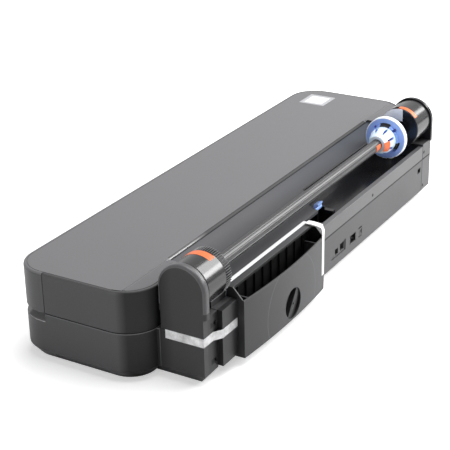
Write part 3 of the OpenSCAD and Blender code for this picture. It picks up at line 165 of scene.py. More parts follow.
class Finish:
    """A material with its Principled shader, while its nodes are made."""

    def __init__(self, name, **fixed):
        self.material = bpy.data.materials.new(name)
        self.material.use_nodes = True
        self.tree = self.material.node_tree
        self.shader = self.tree.nodes["Principled BSDF"]
        for words, value in fixed.items():
            self.shader.inputs[words.replace("_", " ")].default_value = value
        self.place = self.node("ShaderNodeTexCoord", {}, {}, "Object")

    def link_or_set(self, socket, value):
        if isinstance(value, Value):
            self.tree.links.new(value.socket, socket)
        else:
            socket.default_value = value

    def node(self, kind, settings, sockets, output=0):
        made = self.tree.nodes.new(kind)
        for key, value in settings.items():
            setattr(made, key, value)
        for key, value in sockets.items():
            self.link_or_set(made.inputs[key], value)
        return Value(self, made.outputs[output])

    def feed(self, socket, value):
        self.link_or_set(self.shader.inputs[socket], value)

    def stretched(self, scale):
        return self.node("ShaderNodeMapping", {}, {"Vector": self.place, "Scale": scale})

    def noise(self, scale, detail=2.0, where=None, roughness=0.5):
        sockets = {"Vector": where or self.place, "Scale": scale, "Detail": detail, "Roughness": roughness}
        return self.node("ShaderNodeTexNoise", {}, sockets)

    def cells(self, scale, output="Distance"):
        return self.node("ShaderNodeTexVoronoi", {}, {"Vector": self.place, "Scale": scale}, output)

    def axis(self, name, vector=None):
        return self.node("ShaderNodeSeparateXYZ", {}, {"Vector": vector or self.place}, name)

    def places(self):
        """Width, depth and height of the shaded place in metres, from the middle of the footprint."""
        return self.axis("X"), self.axis("Y"), self.axis("Z")

    def round_roll(self):
        """Depth and height from the axis of the roll, and the distance from it, in metres."""
        y, z = self.axis("Y") - back(AXIS[0]), self.axis("Z") - AXIS[1] * MM
        return y, z, (y * y + z * z).root()

    def upward(self):
        """How far the surface looks up, from -1 to 1."""
        return self.axis("Z", self.node("ShaderNodeNewGeometry", {}, {}, "Normal"))

    def blend(self, share, first, second):
        first, second = [c if isinstance(c, Value) else (*c, 1.0) for c in (first, second)]
        return self.node("ShaderNodeMix", {"data_type": "RGBA"}, {0: share, 6: first, 7: second}, 2)

    def between(self, value, low, high, low_to, high_to):
        sockets = {"Value": value, "From Min": low, "From Max": high, "To Min": low_to, "To Max": high_to}
        return self.node("ShaderNodeMapRange", {}, sockets)

    def bump(self, height, strength, distance, edge=0.0):
        """Grain on the surface; edge rounds the shading of sharp corners by that radius in millimetres."""
        sockets = {"Height": height, "Strength": strength, "Distance": distance}
        if edge:
            sockets["Normal"] = self.node("ShaderNodeBevel", {"samples": 6}, {"Radius": edge * MM})
        self.feed("Normal", self.node("ShaderNodeBump", {}, sockets))

    def tones(self, low, high, share):
        self.feed("Base Color", self.blend(share, low, high))


def times(tone, factor):
    return tuple(min(1.0, c * factor) for c in tone)


def moulded(name, tone, roughness, grain=1500.0, depth=0.35, spread=0.12, edge=0.6, zone=None, **fixed):
    """Moulded plastic: fine spark-eroded grain, slow changes of tone and a little handling shine.

    A zone gives a second look to part of the surface: its mask, tone and roughness."""
    f = Finish(name, **fixed)
    fine = f.noise(grain, 2.0)
    broad = f.noise(7.0, 3.0)
    dust = f.noise(190.0, 4.0, roughness=0.7)
    shade = (broad * 0.7 + dust * 0.3).clipped()
    colour = f.blend(shade, times(tone, 1 - spread), times(tone, 1 + spread))
    polish = f.between(fine * 0.4 + broad * 0.6, 0.3, 0.7, roughness - 0.06, roughness + 0.06)
    if zone:
        for mask, other, smooth in zone(f):
            varied = f.blend(shade, times(other, 1 - spread), times(other, 1 + spread))
            colour = f.blend(mask, colour, varied)
            polish = polish + (smooth - roughness) * mask
    f.feed("Base Color", colour)
    f.feed("Roughness", polish)
    f.bump(fine, depth, 0.00008, edge)
    return f.material


def top_of_body(f):
    """Mask of the body's flat top, and the signed distance in metres from the body's outline."""
    flat = (f.upward() > 0.9) * (f.axis("Z") > (BODY_TOP - 1.5) * MM)
    x = f.axis("X").size() - (BODY_HALF - BODY_CORNER) * MM
    y = (f.axis("Y") - back(BODY_DEPTH / 2)).size() - (BODY_DEPTH / 2 - BODY_CORNER) * MM
    x, y = x.larger(0.0), y.larger(0.0)
    return flat, (x * x + y * y).root() - BODY_CORNER * MM


def latch_hole_shade(f):
    """Mask of painted shade at the two latch holes in the rear wall of the near tower."""
    middle, half_width, half_height = 430, 8, 4.4
    low_hole, high_hole = [f.axis("Z").near(height, half_height) for height in (37, 101)]
    return f.axis("X").near(middle, half_width) * (low_hole + high_hole)


def rim_and_deck(f):
    """On both shells and the towers: the deck in the lid's tone, dark joints, a tone for each wall, painted
    shade in the body's corner beside the near tower and at the front of the tower plate, and painted
    highlights round the arch and just under the shell joint.
    """
    deck_inset, groove_inset, groove_half = 6.4, 6.0, 0.9
    joint_half, edge_half = 0.9, 0.8
    body_end, turn_start, turn_end, corner_start = 250.5, 203, 218, 440
    plate_start, plate_front, plate_shade_end, notch_wall = 446.5, 252, 276, 458.8
    arch_front, arch_radius, arch_drop = 253, 36.6, 30
    far_arch_start, far_arch_foot = -418, 121

    flat, distance = top_of_body(f)
    x, y, z = f.places()
    deck = flat * (distance < -deck_inset * MM)
    groove = flat * distance.near(-groove_inset, groove_half)

    body = 1.0 - (y > back(body_end))
    joint = body * z.near(SHELL_JOINT, joint_half)
    # Painted highlight: a lighter band just under the shell joint
    painted_edge_highlight = body * z.near(EDGE_HIGHLIGHT_HEIGHT, edge_half)
    # Painted shade on the body's rounded corner beside the near tower, darker towards the rear
    turned = f.between(y, back(turn_start), back(turn_end), 0.0, 1.0)
    painted_corner_shade = body * (x > corner_start * MM) * (1.0 - flat) * turned

    rear = y > back(REAR_WALL)
    near_wall, far_wall = (x > NEAR_WALL * MM) * rear, (x < FAR_WALL * MM) * rear
    plate = (x > plate_start * MM) * (y > back(plate_front))
    _, above, radius = f.round_roll()
    # Painted highlight: a lighter ring round the arch on the tower plate
    arch_painted_highlight = plate * (above > -arch_drop * MM) * (radius > arch_radius * MM) * (x < notch_wall * MM)
    tower = plate * (1.0 - arch_painted_highlight)
    # Painted shade on the tower plate, darkest at its front where it meets the body
    folds = f.between(y, back(arch_front), back(plate_shade_end), 0.85, 0.0)
    far_arch = (x < far_arch_start * MM) * (z > far_arch_foot * MM) * (y > back(arch_front))

    # Dark joints, the lid groove, slot and screws, with painted shade at the latch holes
    dark = (groove + rear_seams(f)).clipped().larger(joint).larger(near_wall * latch_hole_shade(f))
    return [(deck, lid_tone, 0.4),
            (far_wall, (0.083, 0.082, 0.085), 0.42),
            (near_wall, (0.016, 0.016, 0.017), 0.4),
            (tower, (0.028, 0.0275, 0.029), 0.4),
            (tower * folds, joint_black, 0.5),
            (painted_corner_shade, joint_and_painted_shade_black, 0.45),
            (arch_painted_highlight, (0.085, 0.084, 0.088), 0.3),
            (painted_edge_highlight, (0.1, 0.1, 0.104), 0.4),
            (far_arch, (0.01, 0.01, 0.012), 0.16),
            (dark, joint_black, 0.6)]


def rear_seams(f):
    """Mask of the dark places of the rear wall: the joint lines, the small slot and the screws."""
    seam_height, seam_half, upright_half = 87.3, 1.5, 1.3
    slot_middle, slot_half_width, slot_height, slot_half_height = -375, 7.5, 68, 5.5
    screws, screw_radius = ((-150, 98.4), (60, 98.4), (-397.5, 29), (-397.5, 101)), 3.4

    x, y, z = f.places()
    slot = x.near(slot_middle, slot_half_width) * z.near(slot_height, slot_half_height)
    dark = x.near(FAR_WALL, upright_half).larger(slot)
    for screw_x, screw_z in screws:
        across, up = x - screw_x * MM, z - screw_z * MM
        dark = dark.larger((across * across + up * up).root() < screw_radius * MM)
    level = z.near(seam_height, seam_half) * (x < NEAR_WALL * MM)
    return ((dark + level) * (y > back(REAR_WALL - 0.3))).clipped()


def cover_seams(f):
    """On the rear cover: the same dark joint lines and screws."""
    return [(rear_seams(f), joint_black, 0.6)]


def chute_tones(f):
    """On the chute: a painted dark reflection, bluer and darker towards the far end, and a band of painted
    spindle shadow.
    """
    fade_end, fade_start, shadow_depth, shadow_core, shadow_edge = -340, 100, 262, 6, 34
    # Painted dark reflection: bluer and darker towards the far end
    far = f.between(f.axis("X"), fade_end * MM, fade_start * MM, 1.0, 0.0)
    # Painted shadow of the spindle: a dark band along the chute, darkest at its middle
    from_shadow_band = (f.axis("Y") - back(shadow_depth)).size()
    spindle_shadow = f.between(from_shadow_band, shadow_core * MM, shadow_edge * MM, 0.62, 0.0)
    return [(far, (0.026, 0.031, 0.042), 0.55), (spindle_shadow, (0.014, 0.014, 0.016), 0.5)]


def lid_joints_and_painted_light(f):
    """On the lid: painted shade on the sides, the joint at both ends of the apron, and the lip along the rear
    edge, painted dark towards the far end as a painted reflection.
    """
    lip_start, lip_half, shine_start, shine_end = 208.5, 366, 250, 310
    side_start, gap_start, gap_end = 500, 64.6, 67
    x, y, _ = f.places()
    ends = (x.size() > side_start * MM) * (y > back(gap_start)) * (y < back(gap_end))
    lip = (y > back(lip_start)) * (x.size() < lip_half * MM)
    near = f.between(x, shine_start * MM, shine_end * MM, 0.0, 1.0)
    # Painted shade: the lid's sides darker than its top
    return [(f.upward() < 0.5, (0.05, 0.0495, 0.052), 0.4),
            (ends, joint_and_painted_shade_black, 0.6),
            # The lip is glossy at the near end; towards the far end it is painted dark, a painted dark
            # reflection
            (lip * near, (0.06, 0.06, 0.062), 0.1),
            (lip * (1.0 - near), (0.008, 0.008, 0.009), 0.7)]


def painted_tooth_highlight(f):
    """On the spindle gear: pale crests of the teeth, a painted highlight."""
    crest_radius = 38.9
    _, _, radius = f.round_roll()
    return [(radius > crest_radius * MM, (0.13, 0.13, 0.135), 0.42)]


def hub_windows_and_rim_highlight(f):
    """On the hub: three dark openings in the ring round the collet, and the pale outer rim, a painted
    highlight.
    """
    ring_inside, ring_outside, ring_face, rim_radius = 24.0, 31.5, -289.5, 40.2
    _, z, radius = f.round_roll()
    # Openings where the sine of three times the angle is under -0.45
    lobes = (z * radius * radius * 3.0 - z * z * z * 4.0) * -1.0 > radius * radius * radius * 0.45
    ring = (radius > ring_inside * MM) * (radius < ring_outside * MM) * (f.axis("X") > ring_face * MM)
    # Dark openings, and the pale outer rim as a painted highlight
    return [((lobes * ring).clipped(), (0.006, 0.006, 0.008), 0.5),
            (radius > rim_radius * MM, (0.84, 0.89, 0.97), 0.34)]


def collet_slits(f):
    """On the collet: short blue slits between the fingers."""
    fingers, slit_share, slit_middle, slit_half = 8, 0.13, -268, 5
    y, z, _ = f.round_roll()
    angle = f.node("ShaderNodeMath", {"operation": "ARCTAN2"}, {0: z, 1: y})
    turns = f.node("ShaderNodeMath", {"operation": "FRACT"}, {0: angle * (fingers / (2 * math.pi)) + fingers})
    slit = ((turns - 0.5).size() < slit_share) * f.axis("X").near(slit_middle, slit_half)
    return [(slit, (0.05, 0.16, 0.6), 0.4)]


def matt_ends(f):
    """On the drums: mask of the matt band beside the tower and of the open end."""
    near_band, far_band = 442.2, -415.4
    x = f.axis("X")
    return ((x > near_band * MM) + (x < far_band * MM)).clipped()


def lacquered(name, tone, roughness=0.07, matt=None, **fixed):
    """High gloss plastic with hairline scratches and a trace of dust."""
    f = Finish(name, **fixed)
    hair = f.noise(60.0, 3.0, f.stretched((1.0, 22.0, 22.0)))
    dust = f.noise(900.0, 1.0)
    broad = f.noise(12.0, 2.0)
    f.tones(tone, times(tone, 1.6), broad)
    polish = f.between(hair * 0.5 + dust * 0.5, 0.42, 0.72, roughness, roughness + 0.12)
    f.feed("Roughness", polish + matt(f) * 0.7 if matt else polish)
    f.bump(hair, 0.04, 0.00003, 0.5)
    return f.material


def rubbery(name, tone, roughness=0.75):
    f = Finish(name)
    speck = f.noise(1100.0, 3.0)
    broad = f.noise(26.0, 2.0)
    f.tones(times(tone, 0.8), times(tone, 1.5), broad)
    f.feed("Roughness", f.between(speck, 0.3, 0.7, roughness - 0.1, roughness + 0.1))
    f.bump(speck, 0.5, 0.00012)
    return f.material


def metal(name, tone, roughness, along=(1.0, 60.0, 60.0), depth=0.12):
    """Rolled, ground or drawn metal with its grain along one direction."""
    f = Finish(name, Metallic=1.0)
    grain = f.noise(45.0, 4.0, f.stretched(along))
    broad = f.noise(9.0, 2.0)
    f.tones(times(tone, 0.86), times(tone, 1.08), (grain * 0.6 + broad * 0.4).clipped())
    f.feed("Roughness", f.between(grain, 0.3, 0.7, roughness - 0.07, roughness + 0.09))
    f.bump(grain, depth, 0.00004)
    return f.material


def zinc(name):
    """Zinc plated sheet with its pale crystals."""
    f = Finish(name, Metallic=1.0)
    crystal = f.cells(95.0, output="Color")
    grain = f.noise(420.0, 2.0)
    shade = f.node("ShaderNodeRGBToBW", {}, {"Color": crystal})
    f.tones((0.46, 0.47, 0.49), (0.64, 0.65, 0.67), (shade * 0.7 + grain * 0.3).clipped())
    f.feed("Roughness", f.between(shade + grain, 0.6, 1.4, 0.28, 0.46))
    f.bump(grain, 0.1, 0.00004)
    return f.material


def circuit_green(name):
    """Solder mask with faint copper tracks and pads, and dark parts above the board's top."""
    board_top = 19.2
    f = Finish(name)
    bare, covered = (0, 0, 0, 1), (1, 1, 1, 1)
    sockets = {"Vector": f.place, "Color1": covered, "Color2": covered, "Mortar": bare, "Scale": 170.0,
               "Mortar Size": 0.02}
    tracks = f.node("ShaderNodeTexBrick", {}, sockets)
    pads = f.cells(260.0) < 0.12
    raised = f.axis("Z") > board_top * MM
    board = f.blend(tracks, (0.03, 0.2, 0.08), (0.015, 0.11, 0.045))
    board = f.blend(pads, board, (0.62, 0.5, 0.25))
    f.feed("Base Color", f.blend(raised, board, (0.018, 0.018, 0.02)))
    f.feed("Roughness", f.between(f.noise(500.0), 0.3, 0.7, 0.28, 0.42))
    f.bump(tracks, 0.2, 0.0001)
    return f.material


def inks(name, starts):
    """Four tanks in their own colours, one for each band of the width."""
    f = Finish(name, Coat_Weight=0.4)
    place = f.axis("X")
    tones = [(0.012, 0.012, 0.014), (0.01, 0.16, 0.42), (0.42, 0.02, 0.14), (0.62, 0.46, 0.02)]
    colour = tones[0]
    for start, tone in zip(starts, tones[1:]):
        colour = f.blend(place > start, colour, tone)
    mottle = f.noise(120.0, 2.0)
    f.feed("Base Color", f.blend(mottle * 0.25, colour, (0.5, 0.5, 0.52)))
    f.feed("Roughness", f.between(mottle, 0.3, 0.7, 0.16, 0.32))
    f.bump(f.noise(1400.0), 0.08, 0.00005)
    return f.material


def film(name):
    """Clear code strip with its fine dark lines."""
    f = Finish(name, IOR=1.45)
    lines = f.node("ShaderNodeTexWave", {"wave_type": "BANDS", "bands_direction": "X"},
                   {"Vector": f.place, "Scale": 220.0}, "Fac")
    f.tones((0.62, 0.62, 0.58), (0.2, 0.2, 0.19), lines)
    f.feed("Roughness", f.between(f.noise(80.0), 0.3, 0.7, 0.1, 0.2))
    return f.material


def display_pane(name):
    """Unlit touch display: a pale pane with a soft darker edge."""
    low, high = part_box("display_glass")
    middle, half = (low + high) / 2, (high - low) / 2
    f = Finish(name, Coat_Weight=1.0, Coat_Roughness=0.04)
    across = (f.axis("X") - middle.x).size() / half.x
    along = (f.axis("Y") - middle.y).size() / half.y
    border = f.between(across.larger(along), 0.86, 0.9, 0.0, 1.0)
    pane = f.blend(f.noise(30.0), (0.86, 0.88, 0.9), (0.93, 0.94, 0.95))
    f.feed("Base Color", f.blend(border, pane, (0.5, 0.51, 0.53)))
    f.feed("Roughness", f.between(f.noise(300.0), 0.3, 0.7, 0.05, 0.12))
    return f.material


def bin_inside_painted_shade(f, from_bow):
    """Mask of the inside of the bin, where shade is painted: within its bowed wall, its ends, its bottom and
    its rim.
    """
    wall_depth, half_width, bottom, top = 321.3, 137, 18.6, 137.5
    x, y, z = f.places()
    inside = (from_bow < (BOW_RADIUS - 0.2) * MM) * (y > back(wall_depth)) * x.near(BOW_CENTRE[0], half_width)
    return inside * (z > bottom * MM) * (z < top * MM)


def bin_plastic(name, tone, centre):
    """Plastic of the bin, with the faint moulded ring round the latch knob, painted shade towards the near
    end and painted shade inside.
    """
    ring_radius, ring_flat, ring_foot, painted_shade_start, painted_shade_end = 85, 0.6, 1.6, 110, 371
    f = Finish(name)
    fine = f.noise(1500.0, 2.0)
    broad = f.noise(7.0, 3.0)
    x, y, z = f.places()
    from_knob_x, from_knob_z = x - centre.x, z - centre.z
    from_knob = (from_knob_x * from_knob_x + from_knob_z * from_knob_z).root()
    bow_x, bow_y = x - BOW_CENTRE[0] * MM, y - back(BOW_CENTRE[1])
    from_bow = (bow_x * bow_x + bow_y * bow_y).root()
    ring = f.between((from_knob - ring_radius * MM).size(), ring_flat * MM, ring_foot * MM, 1.0, 0.0)
    ring = ring * (from_bow > BOW_RADIUS * MM)
    shade = f.blend((broad * 0.8 + fine * 0.2).clipped(), times(tone, 0.84), times(tone, 1.16))
    # Painted shade: darker towards the near end
    shade = f.blend(f.between(x, painted_shade_start * MM, painted_shade_end * MM, 0.0, 0.85), shade, (0.016, 0.016, 0.017))
    shade = f.blend(ring * 0.3, shade, times(tone, 2.2))
    # Painted shade inside the bin
    f.feed("Base Color", f.blend(bin_inside_painted_shade(f, from_bow), shade, (0.005, 0.005, 0.005)))
    f.feed("Roughness", f.between(fine * 0.4 + broad * 0.6, 0.3, 0.7, 0.4, 0.52))
    f.feed("Specular IOR Level", 0.3)
    f.bump(fine * 0.3 + ring, 0.35, 0.0002, 0.7)
    return f.material


def adhesive(name, tone, see_through=1.0, crease=70.0):
    """Packing tape: paper or film with creases, and edges that lift a little."""
    f = Finish(name, IOR=1.42)
    folds = f.noise(crease, 5.0, roughness=0.65)
    f.tones(times(tone, 0.72), times(tone, 1.2), folds)
    f.feed("Roughness", f.between(folds, 0.3, 0.7, 0.22, 0.45))
    if see_through < 1:
        f.feed("Alpha", f.between(folds, 0.35, 0.65, see_through - 0.2, see_through + 0.25))
    f.bump(folds, 0.6, 0.0012)
    return f.material


finishes = {
    "shell_plastic": moulded("shell_plastic", (0.06, 0.0595, 0.062), 0.4, zone=rim_and_deck,
                              Specular_IOR_Level=0.28),
    "lid_plastic": moulded("lid_plastic", lid_tone, 0.4, zone=lid_joints_and_painted_light),
    "cover_plastic": moulded("cover_plastic", (0.084, 0.083, 0.086), 0.42, zone=cover_seams),
    "drum_gloss": lacquered("drum_gloss", black, 0.13, matt_ends),
    "chute_plastic": moulded("chute_plastic", (0.062, 0.062, 0.067), 0.5, 1200.0, 0.2, zone=chute_tones,
                             Specular_IOR_Level=0.25),
    "trough_gloss": lacquered("trough_gloss", black, 0.16, Specular_IOR_Level=0.22),
    "foot_rubber": rubbery("foot_rubber", (0.02, 0.02, 0.02)),
    "sheet_steel": zinc("sheet_steel"),
    "ground_steel": metal("ground_steel", (0.72, 0.72, 0.74), 0.16, (60.0, 2.0, 2.0), 0.05),
    "encoder_film": film("encoder_film"),
    "motor_steel": metal("motor_steel", (0.34, 0.35, 0.37), 0.36, (3.0, 3.0, 40.0), 0.08),
    "engine_plastic": moulded("engine_plastic", (0.03, 0.03, 0.033), 0.5, 1200.0),
    "board_green": circuit_green("board_green"),
    "socket_black": moulded("socket_black", (0.012, 0.012, 0.013), 0.38),
    "bezel_grey": moulded("bezel_grey", (0.34, 0.345, 0.36), 0.36),
    "display_white": display_pane("display_white"),
    "head_metal": metal("head_metal", (0.5, 0.5, 0.52), 0.3),
    "gear_acetal": moulded("gear_acetal", (0.72, 0.7, 0.64), 0.34, 700.0, 0.15, 0.06),
    "pinion_brass": metal("pinion_brass", (0.78, 0.58, 0.26), 0.24, (30.0, 2.0, 2.0)),
    "roller_rubber": rubbery("roller_rubber", (0.045, 0.045, 0.048), 0.6),
    "spindle_black": moulded("spindle_black", (0.012, 0.012, 0.013), 0.3, 900.0, 0.04),
    "gear_black": moulded("gear_black", (0.012, 0.012, 0.013), 0.45, 900.0, 0.15, zone=painted_tooth_highlight,
                          Specular_IOR_Level=0.25),
    "hub_blue": moulded("hub_blue", (0.27, 0.44, 0.88), 0.38, 700.0, 0.15, 0.06, 0.5, hub_windows_and_rim_highlight,
                        Subsurface_Weight=0.08),
    "collet_blue": moulded("collet_blue", (0.7, 0.8, 0.95), 0.34, 700.0, 0.12, 0.04, zone=collet_slits,
                           Subsurface_Weight=0.15),
}
low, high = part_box("ink_cartridges")
tank = (high.x - low.x) / 4
finishes["ink_colours"] = inks("ink_colours", [low.x + i * tank for i in (1, 2, 3)])
low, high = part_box("bin_knob")
finishes["bin_plastic"] = bin_plastic("bin_plastic", (0.056, 0.056, 0.059), (low + high) / 2)

for row in frame["record"]["subparts"]:
    piece = parts[row["node"]]
    piece.data.materials.clear()
    piece.data.materials.append(finishes[row["material_slot"]])
parts["sheet_bin"].data.materials[0] = finishes["bin_plastic"]
parts["port_plate"].data.materials[0] = finishes["shell_plastic"]
knob_plastic = moulded("knob_plastic", (0.014, 0.014, 0.015), 0.5, Specular_IOR_Level=0.3)
parts["bin_knob"].data.materials[0] = knob_plastic
screw_black = moulded("screw_black", joint_black, 0.6, Specular_IOR_Level=0.15)
parts["case_screws"].data.materials[0] = screw_black


def finished(shape, name, body, finish, sharp=35.0):
    """Turns a bmesh into a piece that rides on a body."""
    bmesh.ops.recalc_face_normals(shape, faces=shape.faces)
    mesh = bpy.data.meshes.new(name)
    shape.to_mesh(mesh)
    shape.free()
    mesh.shade_smooth()
    mesh.set_sharp_from_angle(angle=math.radians(sharp))
    mesh.materials.append(finish)
    piece = bpy.data.objects.new(name, mesh)
    bpy.context.collection.objects.link(piece)
    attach(piece, body)


def moved_on(shape, extruded, travel):
    """Moves the new corners of an extrusion."""
    corners = [part for part in extruded["geom"] if isinstance(part, bmesh.types.BMVert)]
    bmesh.ops.translate(shape, verts=corners, vec=travel)


def ribbon(points, side, thick):
    """Thin strip through points, its width along the side vector; it lies between the path and its back."""
    shape = bmesh.new()
    path = [shape.verts.new(point) for point in points]
    edges = [shape.edges.new(pair) for pair in zip(path, path[1:])]
    moved_on(shape, bmesh.ops.extrude_edge_only(shape, edges=edges), side)
    bmesh.ops.recalc_face_normals(shape, faces=shape.faces)
    bmesh.ops.solidify(shape, geom=shape.faces[:], thickness=thick * MM)
    return shape


def pulled(points, travel):
    """Closed solid: the flat outline through points, pulled along the travel vector."""
    shape = bmesh.new()
    outline = shape.faces.new([shape.verts.new(point) for point in points])
    moved_on(shape, bmesh.ops.extrude_face_region(shape, geom=[outline]), travel)
    return shape


def bar(profile, x0, x1):
    """Closed bar along the width, from an outline of (depth, height) points."""
    return pulled([at(x0, y, z) for y, z in profile], Vector(((x1 - x0) * MM, 0, 0)))


def slab(outline, z0, z1):
    """Closed plate from a plan outline of (x, depth) points."""
    return pulled([at(x, y, z0) for x, y in outline], Vector((0, 0, (z1 - z0) * MM)))


def arc_outline(centre, radius, start, end, count=9):
    """Points of an arc in its own plane; angles are in degrees."""
    turns = [math.radians(start + (end - start) * i / (count - 1)) for i in range(count)]
    return [(centre[0] + radius * math.cos(a), centre[1] + radius * math.sin(a)) for a in turns]


def round_roll_arc(x, radius, start, end):
    """Points round the axis of the roll, in degrees from +Y towards +Z."""
    return [at(x, y, z) for y, z in arc_outline(AXIS, radius, start, end, 24)]


def along_width(wide):
    return Vector((wide * MM, 0, 0))


orange = adhesive("orange_tape", (0.8, 0.15, 0.035))
clear = adhesive("clear_tape", (0.8, 0.8, 0.81), 0.7, 34.0)
strap = moulded("strap_white", (0.85, 0.85, 0.85), 0.6, 500.0, 0.4, 0.05)

# Packing tape over the drums: place along the width, arc in degrees, width
drum_tape_radius, drum_tape_thick = 40.25, 0.18
drum_tapes = (("tape_near_drum", 392.5, 58, 142, 15), ("tape_far_drum", -369.5, 38, 96, 11))
for name, x, start, end, wide in drum_tapes:
    tape = ribbon(round_roll_arc(x, drum_tape_radius, start, end), along_width(wide), drum_tape_thick)
    finished(tape, name, "housing", orange)

# Packing tape on the collet, where it flares towards the hub, and on the spindle
tape_thick, flare_start, flare = 0.3, -250, 1.33
collet_start, collet_radius, collet_width = -246.5, 17.6, -14
spindle_start, spindle_radius, spindle_width = -243.5, 11.3, 18
arc = round_roll_arc(collet_start, collet_radius, -40, 20)
tape = ribbon(arc, along_width(collet_width), tape_thick)
centre = at(0, *AXIS).yz
for corner in tape.verts:
    if corner.co.x < flare_start * MM:
        corner.co.yz = centre + (corner.co.yz - centre) * flare
finished(tape, "tape_collet", "hub", orange)
arc = round_roll_arc(spindle_start, spindle_radius, -60, 30)
tape = ribbon(arc, along_width(spindle_width), tape_thick)
finished(tape, "tape_spindle", "spindle", orange)

# Film round the near tower foot and the latch block
film_foot, film_height, film_thick = 73, 15, 0.2
route = ((459.3, 262), (459.3, 331.3), (432, 331.4), (417.4, 340.4), (373.5, 340.4))
tape = ribbon([at(x, y, film_foot) for x, y in route], Vector((0, 0, film_height * MM)), film_thick)
finished(tape, "tape_latch_block", "housing", clear)

# Strap folded over the far end of the bin, with its cap on the flange, along (depth, height) points
strap_start, strap_width, strap_thick = 97, 8, 0.8
cap_start, cap_width, cap_thick = 96.4, 13, 2.0
route = ((352.9, 46), (353.1, 116), (353.4, 131), (350, 137.6), (334, 139.0), (321, 139.2))
band = ribbon([at(strap_start, y, z) for y, z in route], along_width(strap_width), strap_thick)
finished(band, "strap_bin", "bin", strap)
route = ((350.5, 139.2), (345, 140.6), (334, 141.6), (322.5, 141.4), (321, 140))
band = ribbon([at(cap_start, y, z) for y, z in route], along_width(cap_width), cap_thick)
finished(band, "strap_cap", "bin", strap)

# Card taped over the open end of the far drum
card_radius, card_corner, card_far, card_near = 39.6, (299.0, 174.8), -355.95, -355.4
card = moulded("card_white", (0.93, 0.93, 0.94), 0.6, 400.0, 0.3, 0.04)
profile = arc_outline(AXIS, card_radius, 80.6, 158, 18) + [card_corner]
finished(bar(profile, card_far, card_near), "card_far_drum", "housing", card)

# Rolled lip along the front edge of the bin, pale as a painted highlight
lip_far, lip_near, lip_centre, lip_radius = 96.2, 371.2, (313.6, 134.6), 3.4
lip_highlight_finish = moulded("bin_lip_painted_highlight", (0.74, 0.75, 0.76), 0.12, 900.0, 0.05, 0.05)
profile = arc_outline(lip_centre, lip_radius, 90, 180, 6)
profile += [(310.2, 128), (311.4, 128), (311.6, 134), (313.6, 136.6), (319.9, 136.6), (319.9, 138.0)]
finished(bar(profile, lip_far, lip_near), "bin_lip", "bin", lip_highlight_finish)


def below_the_rim(f):
    """On the lip's continuation: dark below its rounded top, which is pale as a painted highlight."""
    rim_foot = 129.6
    return [(f.axis("Z") < rim_foot * MM, (0.012, 0.012, 0.013), 0.5)]


# Continuation of the lip on the latch block, pale as a painted highlight
rim_far, rim_near, rim_centre, rim_radius = 372.6, 416.8, (313.0, 127.6), 2.8
rim = moulded("block_lip_painted_highlight", (0.24, 0.24, 0.25), 0.3, 900.0, 0.05, 0.05, zone=below_the_rim)
profile = arc_outline(rim_centre, rim_radius, 90, 180, 5)
profile += [(310.2, 119.75), (319.6, 119.75), (319.6, 130.4)]
finished(bar(profile, rim_far, rim_near), "block_lip", "housing", rim)

# Filler between the round lip of the lid and the deck beside the bay
filler_centre, filler_radius = (210.0, 154.0), 4.2
profile = arc_outline(filler_centre, filler_radius, 88, 4) + [(214.25, 157.98), (210.3, 157.98)]
for name, x0, x1 in (("deck_filler_near", 375.4, 491.5), ("deck_filler_far", -491.5, -370.4)):
    finished(bar(profile, x0, x1), name, "housing", finishes["lid_plastic"])

# Floor of the paper slot at both ends, inside the round front corners
slot_start, slot_front, slot_rear, slot_end, slot_low, slot_high = 400, 0.4, 64.9, 506.1, 72.06, 72.9
tray = moulded("slot_floor", (0.6, 0.6, 0.61), 0.15, 900.0, 0.05)
corner = arc_outline((BODY_HALF - BODY_CORNER, BODY_CORNER), BODY_CORNER - 0.4, -90, 0)
outline = [(slot_start, slot_front), *corner, (slot_end, slot_rear), (slot_start, slot_rear)]
for name, side in (("slot_floor_near", 1), ("slot_floor_far", -1)):
    plate = slab([(side * x, y) for x, y in outline], slot_low, slot_high)
    finished(plate, name, "housing", tray)

# Floor, backdrop and light
floor_half, floor_glow, diffuse_share = 12.0, 0.48, 0.09
floor_shape = bmesh.new()
bmesh.ops.create_grid(floor_shape, x_segments=1, y_segments=1, size=floor_half)
mesh = bpy.data.meshes.new("floor")
floor_shape.to_mesh(mesh)
floor_shape.free()
floor = bpy.data.objects.new("floor", mesh)
bpy.context.collection.objects.link(floor)
floor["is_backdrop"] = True
paper = bpy.data.materials.new("floor_paper")
paper.use_nodes = True
nodes, links = paper.node_tree.nodes, paper.node_tree.links
principled = nodes["Principled BSDF"]
principled.inputs["Base Color"].default_value = (0.9, 0.9, 0.9, 1)
principled.inputs["Roughness"].default_value = 0.7
light_path = nodes.new("ShaderNodeLightPath")
glow = nodes.new("ShaderNodeEmission")
glow.inputs["Color"].default_value = (1, 1, 1, 1)
glow.inputs["Strength"].default_value = floor_glow
added = nodes.new("ShaderNodeAddShader")
mixed = nodes.new("ShaderNodeMixShader")
links.new(principled.outputs[0], added.inputs[0])
links.new(glow.outputs[0], added.inputs[1])
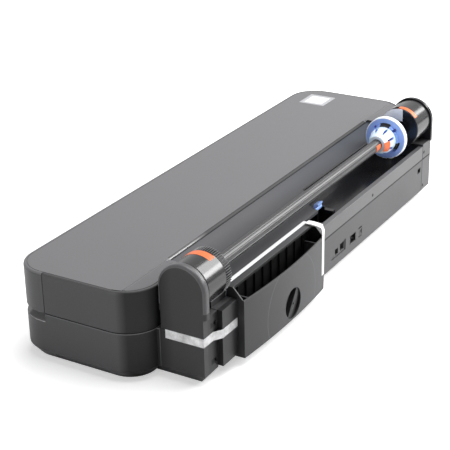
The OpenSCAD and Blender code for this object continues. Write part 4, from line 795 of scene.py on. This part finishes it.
links.new(light_path.outputs["Is Camera Ray"], mixed.inputs[0])
links.new(principled.outputs[0], mixed.inputs[1])
links.new(added.outputs[0], mixed.inputs[2])
links.new(mixed.outputs[0], nodes["Material Output"].inputs["Surface"])
mesh.materials.append(paper)

# The world is white to the camera and in reflections, and gives little light of its own
world = bpy.data.worlds.new("studio")
bpy.context.scene.world = world
world.use_nodes = True
nodes, links = world.node_tree.nodes, world.node_tree.links
light_path = nodes.new("ShaderNodeLightPath")
seen = nodes.new("ShaderNodeMath")
seen.operation = "MAXIMUM"
links.new(light_path.outputs["Is Camera Ray"], seen.inputs[0])
links.new(light_path.outputs["Is Glossy Ray"], seen.inputs[1])
either = nodes.new("ShaderNodeMath")
either.operation = "MAXIMUM"
links.new(seen.outputs[0], either.inputs[0])
links.new(light_path.outputs["Is Transmission Ray"], either.inputs[1])
strength = nodes.new("ShaderNodeMapRange")
strength.inputs["To Min"].default_value = diffuse_share
strength.inputs["To Max"].default_value = 1.0
links.new(either.outputs[0], strength.inputs["Value"])
background = nodes["Background"]
background.inputs["Color"].default_value = (1, 1, 1, 1)
links.new(strength.outputs[0], background.inputs["Strength"])


def lamp(name, place, target, size, power):
    """Soft box aimed at a target; places and size are in metres, the power in watts."""
    made = bpy.data.objects.new(name, bpy.data.lights.new(name, "AREA"))
    bpy.context.collection.objects.link(made)
    made.data.shape = "RECTANGLE"
    made.data.size, made.data.size_y = size
    made.data.energy = power
    made.location = place
    made.rotation_mode = "QUATERNION"
    made.rotation_quaternion = (Vector(target) - Vector(place)).to_track_quat("-Z", "Y")


lamp("top_softbox", (-0.3, 0.35, 2.6), (0, 0, 0.1), (2.6, 1.8), 76.0)
lamp("far_softbox", (-1.9, 1.3, 1.65), (0, 0.1, 0.15), (1.7, 1.7), 72.0)
lamp("rear_softbox", (-1.5, 2.2, 1.2), (-0.1, 0.1, 0.1), (1.8, 0.9), 34.0)
lamp("near_softbox", (2.8, -0.5, 0.6), (0.4, 0, 0.08), (1.0, 1.0), 21.0)

low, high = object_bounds()
